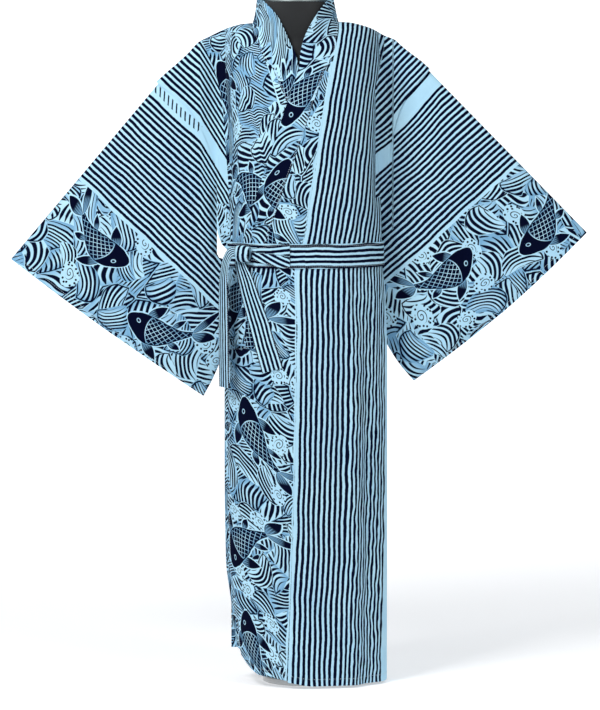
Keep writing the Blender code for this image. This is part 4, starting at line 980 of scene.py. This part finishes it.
def arm_place(put):
    """X and Z of a spot, and its place on the roll where the left sleeve's cloth runs."""
    spot = put("TexCoord").outputs["Object"]
    x, _, z = put("SeparateXYZ", spot).outputs
    reach = put("ADD", put("VectorMath", spot, LEFT_ARM_ACROSS, operation="DOT_PRODUCT"), 0.7988)
    along = put("VectorMath", spot, LEFT_ARM_ALONG, operation="DOT_PRODUCT")
    tucked = put("MapRange", x, 0.1945, 0.1975, 4 * STRIPE_PITCH, 0.0)
    tucked = put("MULTIPLY", tucked, put("LESS_THAN", reach, 0.2))
    slack = put("MULTIPLY", put("MapRange", x, 0.196, 0.3, 0.016, 0.0), put("MapRange", z, 1.1, 1.22))
    reach = put("SUBTRACT", put("SUBTRACT", reach, tucked), slack)
    outer = put("GREATER_THAN", reach, 0.0)
    u = put("Mix", outer, put("ADD", reach, BAND_FROM), put("SUBTRACT", ROLL_WIDTH, reach))
    return x, z, u, along


def left_body_place(put, u, v):
    """The strip's own place, or the sleeve's where the cloth falls over to it."""
    x, z, arm_u, _ = arm_place(put)
    limit = put("MapRange", z, 1.3, 1.38, 0.157, 0.176)
    here = put("MapRange", put("SUBTRACT", x, limit), -0.0004, 0.0004)
    high = put("GREATER_THAN", z, 1.06)
    # Small ripples of the skirt beyond its long fold.
    rippled = put("MULTIPLY", put("MapRange", x, 0.088, 0.112), put("MapRange", z, 0.905, 0.86))
    stretched = put("CombineXYZ", u, put("MULTIPLY", v, 0.55), 0.0)
    ripple = put("TexNoise", stretched, 46.0, 1.0, noise_dimensions="2D")
    ripple = put("MULTIPLY", put("SUBTRACT", ripple, 0.5), 0.0085)
    u = put("ADD", u, put("MULTIPLY", ripple, rippled))
    return put("Mix", put("MULTIPLY", here, high), u, arm_u), v


def right_body_place(put, u, v):
    """The strip's own place, or the sleeve's beyond the fold over the arm."""
    spot = put("TexCoord").outputs["Object"]
    x, _, z = put("SeparateXYZ", spot).outputs
    reach = put("VectorMath", spot, RIGHT_ARM_ACROSS, operation="DOT_PRODUCT")
    tucked = put("MAXIMUM", put("ADD", x, 0.2245), 0.0)
    reach = put("MULTIPLY_ADD", tucked, 0.5, put("SUBTRACT", reach, 0.2634))
    folded = put("GREATER_THAN", reach, ROLL_WIDTH)
    arm_u = put("Mix", folded, reach, put("SUBTRACT", ROLL_WIDTH + BAND_FROM, reach))
    arm_v = put("ADD", put("VectorMath", spot, RIGHT_ARM_ALONG, operation="DOT_PRODUCT"), SLEEVE_V)
    rise = put("MAXIMUM", put("SUBTRACT", z, 1.248), 0.0)
    limit = put("SUBTRACT", put("MapRange", z, 1.052, 1.248, -0.16, -0.174),
                put("MULTIPLY", rise, put("MULTIPLY_ADD", rise, 1.4, 0.1)))
    here = put("MULTIPLY", put("LESS_THAN", x, limit), put("GREATER_THAN", z, 1.045))
    return put("Mix", here, u, arm_u), put("Mix", here, v, arm_v)


for side, name, node, cloth in (
        (1, "left_body_width", "body_left", cotton("printed_cotton_left_body", left_body_place)),
        (-1, "right_body_width", "body_right",
         cotton("printed_cotton_right_body", right_body_place, 1.15, 1.0))):
    grid, place, whole = body_grid(side)
    lift = fold_lift(grid) + tuck_lift(grid)
    skirt = (grid[..., 2] < SKIRT_TOP) & (np.arange(len(grid)) < len(grid) // 2)[:, None]
    if side > 0:
        lift = lift + over_lift(grid)
        squeezed = SKIRT_SQUEEZE * np.maximum(place - SKIRT_SQUEEZE_FROM, 0.0)
        across = LEFT_BODY_U + 1.01 * place + np.where(skirt, squeezed, 0.0)
    else:
        across = np.where(skirt, RIGHT_SKIRT_U + place - whole, place + RIGHT_BODY_U)
    roll = np.stack([across, SHOULDER_V + lengthwise(grid, len(grid) // 2)], axis=-1)
    piece = cloth_piece(name, cloth, grid, lift, roll)
    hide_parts(node)
    hems = sew(name + "_hem_stitches", [(OUTSIDE[name][4], False), (OUTSIDE[name][-5], False)])

# ------------------------------------------------------------------ overlaps
# A tapering half width sewn to each front's edge, with the waved side of the
# roll outwards. The left one is outermost.
COLLAR_WIDTH = 0.055
COLLAR_END = 0.74             # height of the collar's two lower ends
OVERLAP_COLUMNS = 40
OVERLAP_U = 0.208             # where each overlap was cut from the roll, across and along
OVERLAP_V = {1: 3.1, -1: 4.27}
OVERLAP_HEIGHTS = np.concatenate((HEM_LEVELS, np.linspace(0.026, 0.722, 66),
                                  np.linspace(0.728, 0.742, 13), np.linspace(0.75, 1.355, 58)))
FRONT_COLLAR_TOP = 1.34       # above it the collar leaves the front for the neck
NECK_SEAM_START = 1.362       # height where it first meets the body's edge
# Free edge of each front, as an angle round the trunk: height, left, right.
FREE_EDGE_ROWS = (
    (0.0, -70.0, 66.0), (0.8, -70.0, 66.0), (0.913, -68.0, 62.0), (0.965, -55.0, 53.0),
    (1.096, -34.0, 32.0), (1.227, -16.3, 14.0), (1.34, -2.3, -2.3),
)
FREE_EDGE = curves(FREE_EDGE_ROWS)


def angle_beyond(angle, height, distance):
    """The angle that lies a distance along the cloth from another one."""
    for _ in range(16):
        turn = np.radians(angle)
        side = np.where(np.sin(turn) >= 0, 1, -1)
        reach = trunk_reach(side, height) * np.cos(turn)
        depth = trunk_depth(-1, height) * np.sin(turn)
        angle = angle + np.degrees(distance / 16 / np.hypot(reach, depth))
    return angle


def free_edge(side, height):
    return read_side(FREE_EDGE, side, height)


def collar_seam(side, height):
    """Angle of the collar's outer edge on a front."""
    seam = angle_beyond(free_edge(side, height), height, side * COLLAR_WIDTH)
    edge = angle_at(read_side(FRONT_EDGE, side, height) - side * SEAM, height)
    return np.minimum(seam, edge) if side > 0 else np.maximum(seam, edge)


def overlap_grid(side):
    """An overlap's grid, from its seam on the body to its free or collar edge."""
    level = OVERLAP_HEIGHTS
    seam = angle_at(read_side(FRONT_EDGE, side, level) - side * SEAM / 2, level)
    covered = collar_seam(side, np.minimum(level, FRONT_COLLAR_TOP))
    edge = read_side(FRONT_EDGE, side, NECK_SEAM_START) - side * SEAM
    above = np.clip((level - FRONT_COLLAR_TOP) / (NECK_SEAM_START - FRONT_COLLAR_TOP), 0.0, 1.0)
    covered = covered + (angle_at(edge, NECK_SEAM_START) - covered) * above
    covered = covered + side * math.degrees(2 * SEAM / 0.13)
    free = free_edge(side, level)
    free = free + (covered - free) * smoothstep((level - (COLLAR_END - 0.01)) / 0.01)
    narrowest = seam - side * np.where(level < FRONT_COLLAR_TOP, 1.5, 0.9)
    free = np.minimum(free, narrowest) if side > 0 else np.maximum(free, narrowest)
    angle = seam[:, None] + (free - seam)[:, None] * np.linspace(0.0, 1.0, OVERLAP_COLUMNS)
    return trunk_point(angle, settle(level[:, None], angle))


overlap_cloth = cotton("printed_cotton_overlaps", None, 1.18, 1.0)
for side, name, node in ((1, "left_overlap", "okumi_left"), (-1, "right_overlap", "okumi_right")):
    grid = overlap_grid(side)
    lift = fold_lift(grid) + (LAYER if side > 0 else 0.0)
    roll = np.stack([OVERLAP_U - run_along(grid, 1), OVERLAP_V[side] + lengthwise(grid, -1)], axis=-1)
    piece = cloth_piece(name, overlap_cloth, grid, lift, roll)
    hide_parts(node)
    below = OVERLAP_HEIGHTS < COLLAR_END
    hems = sew(name + "_edge_stitches", [(OUTSIDE[name][4, :-3], False),
                                         (OUTSIDE[name][below][4:, -3], False)])

# ------------------------------------------------------------------ collar
# A long band folded double: up the left front's edge, round the neck and down
# the right one, sewn over the raw edges.
COLLAR_WALL = 0.002
COLLAR_U = 0.06               # where the collar was cut from the roll
COLLAR_V = 5.2
COLLAR_SHARES = np.array([0.0, 0.02, 0.06, 0.13, 0.22, 0.32, 0.42, 0.52, 0.62, 0.72, 0.81, 0.89, 0.95,
                          0.985, 1.0])
COLLAR_PUFF = 0.0007          # a little air inside the folded band
NECK_SEAM_RISE = 0.002
# From the crossing up round the neck: x, y and z of the band's top edge, then
# the face and height where its other edge is sewn on.
NECK_LEFT_ROWS = (
    (-0.0065, -0.099, 1.37, -1, 1.362), (0.0, -0.087, 1.4, -1, 1.392), (0.012, -0.0745, 1.428, -1, 1.418),
    (0.03, -0.061, 1.458, -1, 1.432), (0.05, -0.04, 1.484, -1, 1.438), (0.062, -0.008, 1.497, 1, 1.4358),
    (0.059, 0.033, 1.5, 1, 1.4287), (0.035, 0.066, 1.496, 1, 1.4174),
)
NECK_BACK_ROW = (-0.0165, 0.079, 1.486, 1, 1.4006)
NECK_RIGHT_ROWS = (
    (-0.015, -0.096, 1.37, -1, 1.362), (-0.027, -0.086, 1.395, -1, 1.392),
    (-0.04, -0.073, 1.425, -1, 1.418), (-0.056, -0.059, 1.455, -1, 1.43),
    (-0.085, -0.033, 1.486, -1, 1.434), (-0.097, -0.005, 1.497, 1, 1.4313),
    (-0.093, 0.035, 1.5, 1, 1.4243), (-0.069, 0.067, 1.496, 1, 1.4131),
)


def collar_front(side):
    """The band on one front, from its free edge to its seam, with the lifts."""
    height = np.linspace(0.742, 1.34, 110)
    free = free_edge(side, height)
    seam = collar_seam(side, height)
    angle = free[:, None] + (seam - free)[:, None] * COLLAR_SHARES
    grid = trunk_point(angle, np.broadcast_to(height[:, None], angle.shape))
    lift = fold_lift(grid) + (over_lift(grid) if side > 0 else 0.0)
    return grid, lift


def neck_station(side, values):
    """Points across the standing band, from its top to its seam on the body."""
    top = np.array(values[:3])
    face, height = values[3:]
    inset = 1.5 * SEAM + COLLAR_WALL * smoothstep((height - 1.38) / 0.04)
    across = inner_edge(side, face, height) - side * inset
    share = (across - trunk_middle(height)) / trunk_reach(side, height)
    seam = cloth_at(face, across, trunk_depth(face, height) * math.sqrt(1.0 - share * share), height)
    if face > 0:
        seam = seam + (0.0, 0.0, NECK_SEAM_RISE)
    return top + (seam - top) * COLLAR_SHARES[:, None]


def through(rows, finer):
    """Rows of points on smooth curves through given rows, by distance along them."""
    rows = np.array(rows)
    run = np.insert(np.cumsum(np.linalg.norm(np.diff(rows, axis=0), axis=2).mean(axis=1)), 0, 0.0)
    slopes = np.gradient(rows, run, axis=0)
    found = []
    for i, width in enumerate(np.diff(run)):
        for t in np.linspace(0.0, 1.0, finer, endpoint=False):
            found.append(cubic(t, width, rows[i], rows[i + 1], slopes[i], slopes[i + 1]))
    found.append(rows[-1])
    return np.array(found)


left_front, left_lift = collar_front(1)
right_front, right_lift = collar_front(-1)
neck = [neck_station(1, values) for values in NECK_LEFT_ROWS + (NECK_BACK_ROW,)]
neck += [neck_station(-1, values) for values in NECK_RIGHT_ROWS[::-1]]
neck = through([left_front[-6], left_front[-1]] + neck + [right_front[-1], right_front[-6]], 9)[9:-9]
grid = np.concatenate([left_front[:-1], neck, right_front[::-1][1:]])
neck_lift = over_lift(neck)
neck_lift[len(neck) // 2:] = 0.0
lift = np.concatenate([left_lift[:-1], neck_lift, right_lift[::-1][1:]])
puff = COLLAR_PUFF * np.clip(np.sin(math.pi * COLLAR_SHARES), 0.0, 1.0) ** 0.6
roll = np.stack([COLLAR_U + run_along(grid, 1), COLLAR_V + run_along(grid)], axis=-1)
collar_cloth = cotton("printed_cotton_collar", None, 1.1, 0.6)
collar = cloth_piece("collar_band", collar_cloth, grid, lift, roll, wall=COLLAR_WALL + puff[None, :])
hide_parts("collar")
collar_seam_thread = sew("collar_stitches", [(OUTSIDE["collar_band"][:, 12], False)])

# ------------------------------------------------------------------ sleeves
# A straight width folded along its top: sewn to the armhole, shut below it, and
# open at the cuff down to the hand's width.
CUFF_OPEN = 0.5               # share of the cuff edge that is open
ARMHOLE_GAP = 0.0006
# All round the sleeve, shoulder to cuff: its shoulder, cuff corners and lowest inner point, its bows, and
# how its inner edge clears the trunk or hangs free.
SLEEVE_BEHIND = 0.006         # below the armhole the inner edge lies this far behind the trunk
SLEEVE_SIZES = {
    1: {"shoulder": (0.2775, 1.335), "cuff_top": (0.621, 0.981), "cuff_low": (0.243, 0.655),
        "inner_low": 0.758, "bow": -0.004, "cuff_bow": 0.012, "clear": 0.0016, "free": 0.0},
    -1: {"shoulder": (-0.32, 1.3065), "cuff_top": (-0.639, 0.923), "cuff_low": (-0.218, 0.621),
         "inner_low": 0.785, "bow": -0.007, "cuff_bow": 0.005, "clear": 0.0096, "free": 0.188},
}
SLEEVE_DOWNS = 0.5 - 0.5 * np.cos(np.linspace(0.0, math.pi, 30))
SLEEVE_DOWNS = np.concatenate([SLEEVE_DOWNS[:4], np.linspace(SLEEVE_DOWNS[3], SLEEVE_DOWNS[-4], 60)[1:-1],
                               SLEEVE_DOWNS[-4:]])
SLEEVE_SHARES = np.concatenate(([0.0, 0.004], np.linspace(0.014, 0.975, 88),
                                [0.982, 0.9825, 0.99, 0.997, 1.0]))
# Soft folds in the hanging sleeves: side, face, from x and z, to x and z, half width, lift.
SLEEVE_CREASES = (
    (1, -1, 0.3, 1.27, 0.25, 0.8, 0.016, 0.002), (1, -1, 0.262, 1.18, 0.19, 0.85, 0.01, -0.0026),
    (1, -1, 0.42, 1.15, 0.33, 0.8, 0.018, -0.002), (1, -1, 0.52, 1.05, 0.3, 0.7, 0.016, 0.0018),
    (1, -1, 0.215, 1.02, 0.205, 0.81, 0.008, 0.002), (1, -1, 0.36, 0.93, 0.25, 0.76, 0.012, 0.0016),
    (1, 1, 0.31, 1.26, 0.24, 0.82, 0.015, 0.0022), (1, 1, 0.4, 1.14, 0.3, 0.78, 0.017, -0.002),
    (1, 1, 0.54, 1.02, 0.33, 0.74, 0.015, 0.0016), (1, 1, 0.23, 1.1, 0.2, 0.84, 0.009, -0.0022),
    (-1, -1, -0.32, 1.24, -0.24, 0.8, 0.016, 0.002), (-1, -1, -0.27, 1.18, -0.196, 0.85, 0.01, -0.0026),
    (-1, -1, -0.44, 1.1, -0.33, 0.76, 0.018, -0.0022), (-1, -1, -0.56, 0.98, -0.3, 0.69, 0.016, 0.0018),
    (-1, -1, -0.222, 1.03, -0.206, 0.82, 0.008, 0.002), (-1, -1, -0.38, 0.9, -0.262, 0.73, 0.012, 0.0016),
    (-1, 1, -0.33, 1.23, -0.25, 0.82, 0.015, 0.002), (-1, 1, -0.43, 1.09, -0.32, 0.75, 0.018, -0.002),
    (-1, 1, -0.55, 0.96, -0.34, 0.72, 0.014, 0.0016), (-1, 1, -0.24, 1.1, -0.206, 0.85, 0.009, -0.002),
)


def sleeve_inner(side, height):
    """The sleeve's inner edge: the armhole, then free or a little way behind the trunk."""
    seam = read_side(ARMHOLE, side, height)
    beside = trunk_middle(height) * side + trunk_reach(side, height)
    above = np.maximum(seam, beside + SLEEVE_SIZES[side]["clear"]) + ARMHOLE_GAP
    free = SLEEVE_SIZES[side]["free"] * smoothstep((height - 0.88) / 0.05)
    below = np.maximum(beside - SLEEVE_BEHIND, free)
    return side * (below + (above - below) * smoothstep((height - 1.01) / 0.035))


def sleeve_grid(side):
    """Rings round the sleeve from the armhole to the cuff."""
    sizes = SLEEVE_SIZES[side]
    down = np.concatenate([SLEEVE_DOWNS, SLEEVE_DOWNS[-2:0:-1]])
    face = np.concatenate([np.full(len(SLEEVE_DOWNS), -1), np.full(len(SLEEVE_DOWNS) - 2, 1)])
    share, down = np.meshgrid(SLEEVE_SHARES, down, indexing="ij")
    face = np.broadcast_to(face, down.shape)
    inset = 0.0045 + 0.991 * down
    height = sizes["shoulder"][1] + (sizes["inner_low"] - sizes["shoulder"][1]) * inset
    inner = sleeve_inner(side, height)
    fall_x = sizes["cuff_low"][0] - sizes["cuff_top"][0]
    fall_z = sizes["cuff_low"][1] - sizes["cuff_top"][1]
    cuff_bow = sizes["cuff_bow"] * np.sin(math.pi * inset) / math.hypot(fall_x, fall_z)
    cuff_x = sizes["cuff_top"][0] + fall_x * inset - side * fall_z * cuff_bow
    cuff_z = sizes["cuff_top"][1] + fall_z * inset + side * fall_x * cuff_bow
    bow = sizes["bow"] * np.sin(math.pi * share) * smoothstep((down - 0.7) / 0.3)
    across = inner + (cuff_x - inner) * share + side * bow
    height = height + (cuff_z - height) * share + bow
    round_fold = np.clip(1.0 - np.abs(2.0 * down - 1.0) ** 4, 0.0, 1.0) ** 0.25
    armhole = (sizes["shoulder"][1] - ARMHOLE_END) / (sizes["shoulder"][1] - sizes["inner_low"])
    shut = smoothstep((0.08 - share) / 0.08) * smoothstep((down - armhole) / 0.08)
    shut += smoothstep((share - 0.93) / 0.07) * smoothstep((down - CUFF_OPEN) / 0.08)
    gap = SEAM / 2 + (SLEEVE_HOLLOW - SEAM / 2) * round_fold * (1.0 - 0.97 * shut)
    gap = np.where((down == 0.0) | (down == 1.0), 0.0, gap)
    creases = np.zeros(across.shape)
    for number, (of_side, of_face, *row) in enumerate(SLEEVE_CREASES):
        here = (face == of_face) & (of_side == side)
        creases += np.where(here, crease(across, height, row, 0.25, 9.0, 0.25, number), 0.0)
    creases *= smoothstep(down / 0.08) * smoothstep((1.0 - down) / 0.08) * (1.0 - np.clip(shut, 0.0, 1.0))
    wave = 0.0025 * np.sin(9.0 * share + 5.0 * down) * share
    outward = smoothstep((np.abs(across) - ARM_BEGIN) / ARM_BLEND)
    back = ARM_SET_BACK * np.maximum(outward, 1.0 - smoothstep((height - 1.015) / 0.045))
    return np.stack([across, back + wave + face * (gap + creases), height], axis=-1)


def left_sleeve_place(put, u, v):
    return arm_place(put)[2:]


for side, name, node, cloth in (
        (1, "left_sleeve", "sleeve_left", cotton("printed_cotton_left_sleeve", left_sleeve_place)),
        (-1, "right_sleeve", "sleeve_right", cotton("printed_cotton_right_sleeve"))):
    grid = sleeve_grid(side)
    closed_grid = np.concatenate([grid, grid[:, :1]], axis=1)
    x, z = closed_grid[..., 0], closed_grid[..., 2]
    across = 0.209 + RIGHT_ARM_ACROSS[0] * (x + 0.4818) + RIGHT_ARM_ACROSS[2] * (z - 1.0958)
    across = across + 0.5 * np.maximum(x + 0.224, 0.0) * np.clip((across - 0.209) / 0.2, 0.0, 1.0)
    along = RIGHT_ARM_ALONG[0] * x + RIGHT_ARM_ALONG[2] * z
    roll = np.stack([across, SLEEVE_V + along], axis=-1)
    piece = cloth_piece(name, cloth, grid, 0.0, roll, closed=True, around_trunk=False)
    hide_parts(node)
    cuff = sew(name + "_cuff_stitches", [(OUTSIDE[name][-6], True)])

# ------------------------------------------------------------------ belt
# A long narrow sash of the striped half of the roll, sewn double: once round the
# waist, a crossing end, a knot that holds it and two tails.
BELT_LOW = 0.911
BELT_HIGH = 0.965
BELT_WALL = 0.0022
BELT_FRONT_LIFT = 0.0064      # over both fronts
BELT_BACK_LIFT = 0.0028       # over the back
LAP_LIFT = BELT_FRONT_LIFT + BELT_WALL + 0.0009
KNOT_LIFT = LAP_LIFT + BELT_WALL + 0.0006
KNOT_ANGLE = -48.5
KNOT_HEIGHT = 0.942
KNOT_HALF_WIDTH = 0.0165
KNOT_HALF_DEPTH = 0.011
KNOT_HALF_HEIGHT = 0.018
# The crossing end: angle, lower edge, upper edge.
LAP_ROWS = (
    (-55.0, 0.931, 0.951), (-49.0, 0.93, 0.952), (-42.5, 0.928, 0.954), (-35.5, 0.924, 0.957),
    (-28.0, 0.919, 0.961), (-20.0, 0.914, 0.964), (-11.5, 0.91, 0.966),
)
# The front tail lies on the skirt: across, height, half width, lift.
FRONT_TAIL_ROWS = (
    (-0.127, 0.923, 0.0095, 0.0122), (-0.1245, 0.908, 0.012, 0.011), (-0.12, 0.89, 0.0145, 0.0092),
    (-0.1125, 0.862, 0.017, 0.0074), (-0.1005, 0.82, 0.0192, 0.0063), (-0.0875, 0.775, 0.0207, 0.006),
    (-0.0745, 0.73, 0.0219, 0.006), (-0.0635, 0.692, 0.0226, 0.006),
)
# The side tail loops and hangs beside it: its middle and its half width, x y z.
SIDE_TAIL_ROWS = (
    (-0.1446, -0.078, 0.948, 0.0, 0.0035, 0.0085), (-0.1555, -0.081, 0.944, -0.003, 0.006, 0.009),
    (-0.164, -0.083, 0.929, -0.0055, 0.0095, 0.0075), (-0.169, -0.083, 0.9, -0.008, 0.0145, 0.0025),
    (-0.17, -0.081, 0.857, -0.01, 0.0195, 0.0), (-0.1695, -0.08, 0.8, -0.0108, 0.022, 0.0),
    (-0.169, -0.08, 0.73, -0.0112, 0.0226, 0.0), (-0.1685, -0.08, 0.653, -0.0112, 0.0226, 0.0),
)
BELT_U = 0.213                # where the sash was cut from the roll
BELT_V = 9.0
belt_cloth = cotton("printed_cotton_belt")


def belt_piece(name, node, grid, lift, across, lines, closed=False,
               around_trunk=True):
    """A length of the sash with its edge stitches; the stripes of a closed one run along its rows."""
    along = run_along(np.concatenate([grid, grid[:, :1]], axis=1), 1) if closed else run_along(grid)
    roll = np.stack([BELT_U + np.broadcast_to(across, along.shape), BELT_V + along], axis=-1)
    piece = cloth_piece(name, belt_cloth, grid, lift, roll, wall=BELT_WALL, closed=closed,
                        around_trunk=around_trunk)
    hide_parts(node)
    outside = OUTSIDE[name] if closed else OUTSIDE[name].swapaxes(0, 1)
    edges = sew(name + "_edge_stitches", [(outside[line], closed) for line in lines])


# The band, wrapped round over both fronts and closer to the back.
turns = np.linspace(0.0, 360.0, 300, endpoint=False)
heights = np.concatenate(([BELT_LOW, BELT_LOW + 0.0006],
                          np.linspace(BELT_LOW + 0.002, BELT_HIGH - 0.002, 26),
                          [BELT_HIGH - 0.0006, BELT_HIGH]))
turn_grid, height_grid = np.meshgrid(turns, heights)
band = trunk_point(turn_grid, height_grid)
front = smoothstep((np.cos(np.radians(turn_grid)) + 0.35) / 0.25)
lift = BELT_BACK_LIFT + (BELT_FRONT_LIFT - BELT_BACK_LIFT) * front
across = np.broadcast_to((heights - BELT_LOW)[:, None], (len(heights), len(turns) + 1))
belt_piece("sash_band", "belt_band", band, lift, across,
           (3, -4), closed=True)

# The crossing end, gathered where it comes out of the knot.
table = curves(LAP_ROWS)
lap_start, lap_end = LAP_ROWS[0][0], LAP_ROWS[-1][0]
angle = np.linspace(lap_start, lap_end, 70)
share = np.linspace(0.0, 1.0, 26)
low = read(table, 1, angle)[:, None]
high = read(table, 2, angle)[:, None]
lap = trunk_point(np.broadcast_to(angle[:, None], (len(angle), len(share))), low + (high - low) * share)
gather = np.clip((lap_end - angle) / (lap_end - lap_start), 0.0, 1.0)[:, None]
pleats = 0.0009 * gather * (0.5 + 0.5 * np.sin(2 * math.pi * 3.5 * share + 0.6))
# Its lower half is folded up over the upper one, so its stripes run aslant there.
fold_line = 0.5 + 0.22 * gather
folded = smoothstep((fold_line - share) / 0.05)
rise = low + (high - low) * share - BELT_LOW
along = 0.117 * (1.0 - gather)
aslant = np.where(share < fold_line, rise + 0.52 * along, 0.008 + rise - 0.1 * along)
belt_piece("sash_lap", "belt_lap", lap, LAP_LIFT + pleats + 0.0012 * folded, aslant,
           (1, -2))

# The knot: a length wrapped once round the crossing end, pinched in the middle.
sideways = trunk_point(KNOT_ANGLE + 1.0, KNOT_HEIGHT) - trunk_point(KNOT_ANGLE - 1.0, KNOT_HEIGHT)
sideways = sideways / np.linalg.norm(sideways)
outward = np.array((sideways[1], -sideways[0], 0.0))
middle = trunk_point(KNOT_ANGLE, KNOT_HEIGHT) + outward * (KNOT_LIFT + KNOT_HALF_DEPTH)
share = np.linspace(-1.0, 1.0, 24)[:, None]
around = np.linspace(0.0, 2 * math.pi, 72, endpoint=False)
pleats = 0.0005 * np.sin(2.6 * math.pi * share + 1.0)
deep = (KNOT_HALF_DEPTH - BELT_WALL) * (1.0 - 0.34 * share ** 2) + pleats
high = (KNOT_HALF_HEIGHT - BELT_WALL) * (1.0 - 0.15 * share ** 2 - 0.06 * share) + pleats
cosine, sine = np.cos(around), np.sin(around)
deep = deep * np.sign(cosine) * np.abs(cosine) ** 0.8
high = high * np.sign(sine) * np.abs(sine) ** 0.9
knot = (middle + KNOT_HALF_WIDTH * share[..., None] * sideways + deep[..., None] * outward
        + high[..., None] * np.array((0.0, 0.0, 1.0)))
belt_piece("sash_knot", "belt_knot", knot, 0.0, 0.0055 + 0.015 * (share + 1.0),
           (1, -2), closed=True, around_trunk=False)

# The front tail lies flat on the skirt and the side tail hangs free beside it.
rows = curves([(-height, across, half, lift) for across, height, half, lift in FRONT_TAIL_ROWS])
down = np.linspace(rows[0][0], rows[0][-1], 90)
across = read(rows, 1, down)
fall = np.stack([np.gradient(across), np.gradient(-down)], axis=1)
fall /= np.linalg.norm(fall, axis=1)[:, None]
shares = np.linspace(-1.0, 1.0, 24)
half = read(rows, 2, down)[:, None] * shares
place_x = across[:, None] - fall[:, 1:] * half
place_z = -down[:, None] + fall[:, :1] * half
tail = trunk_point(angle_at(place_x, place_z), place_z)
near_knot = np.exp(-((down - down[0]) / 0.06) ** 2)[:, None]
folds = 0.001 * near_knot * (1.0 + np.sin(2 * math.pi * 1.5 * shares + 0.8))
lift = read(rows, 3, down)[:, None] + fold_lift(tail) + folds
belt_piece("sash_front_tail", "belt_tail_front", tail, lift, 0.003 + 0.0285 * (shares + 1.0),
           (1, -2))

shares = np.linspace(0.0, 1.0, 16)
side_tail = through([[row[:3] + row[3:] * spread for spread in np.linspace(-1.0, 1.0, 16)]
                     for row in np.array(SIDE_TAIL_ROWS)], 12)
curl = 0.0022 * np.sin(math.pi * shares) * smoothstep((0.93 - side_tail[..., 2]) / 0.06)
side_tail[..., 0] -= curl
belt_piece("sash_side_tail", "belt_tail_side", side_tail, 0.0, 0.052 * shares,
           (1, -2))

# ------------------------------------------------------------------ studio
# Matt white background paper that sweeps up far behind and glows a little, so that
# it shows as white. A large soft light from the upper left, a weaker one from the
# right and a pale surround.
SWEEP = ((-13.0, 0.0), (10.0, 0.0), (10.8, 0.08), (11.4, 0.3), (11.8, 0.75), (12.0, 1.4), (12.0, 6.0))
paper, put, shader, place, _ = toned("white_paper_sweep", 0.9, 30.0, "#f4f5f6", "#f8f9fa")
distance = put("SeparateXYZ", place).outputs[1]
glow = put("ADD", put("MapRange", distance, -1.6, -0.45, 0.05, 0.48),
           put("MapRange", distance, 0.4, 3.5, 0.0, 0.37))
feed(shader, {"Emission Color": linear("#fbfcfe"), "Emission Strength": glow})
mesh = bpy.data.meshes.new("studio_sweep")
points = [(x, y, z) for y, z in SWEEP for x in (-14.0, 14.0)]
mesh.from_pydata(points, [], [(2 * i, 2 * i + 1, 2 * i + 3, 2 * i + 2) for i in range(len(SWEEP) - 1)])
mesh.materials.append(paper)
mesh.shade_smooth()
sweep = bpy.data.objects.new("studio_sweep", mesh)
bpy.context.collection.objects.link(sweep)
sweep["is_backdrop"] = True

world = bpy.data.worlds.new("pale_surround")
bpy.context.scene.world = world
world.use_nodes = True
surround = world.node_tree.nodes["Background"]
feed(surround, {"Color": linear("#f2f6fa"), "Strength": 0.235})
for name, place, aim, size, power in (
        ("key_softbox", (-1.3, -1.9, 2.7), (0.0, 0.0, 1.15), 0.9, 58.0),
        ("fill_softbox", (1.7, -2.0, 2.6), (0.4, 0.0, 1.2), 1.0, 21.0)):
    light = bpy.data.lights.new(name, "AREA")
    light.size = size
    light.energy = power
    lamp = bpy.data.objects.new(name, light)
    lamp.location = place
    lamp.rotation_euler = (Vector(aim) - Vector(place)).to_track_quat("-Z", "Y").to_euler()
    bpy.context.collection.objects.link(lamp)
bpy.context.scene.view_settings.view_transform = "Standard"

# ------------------------------------------------------------------ sizes and end
low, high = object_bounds()
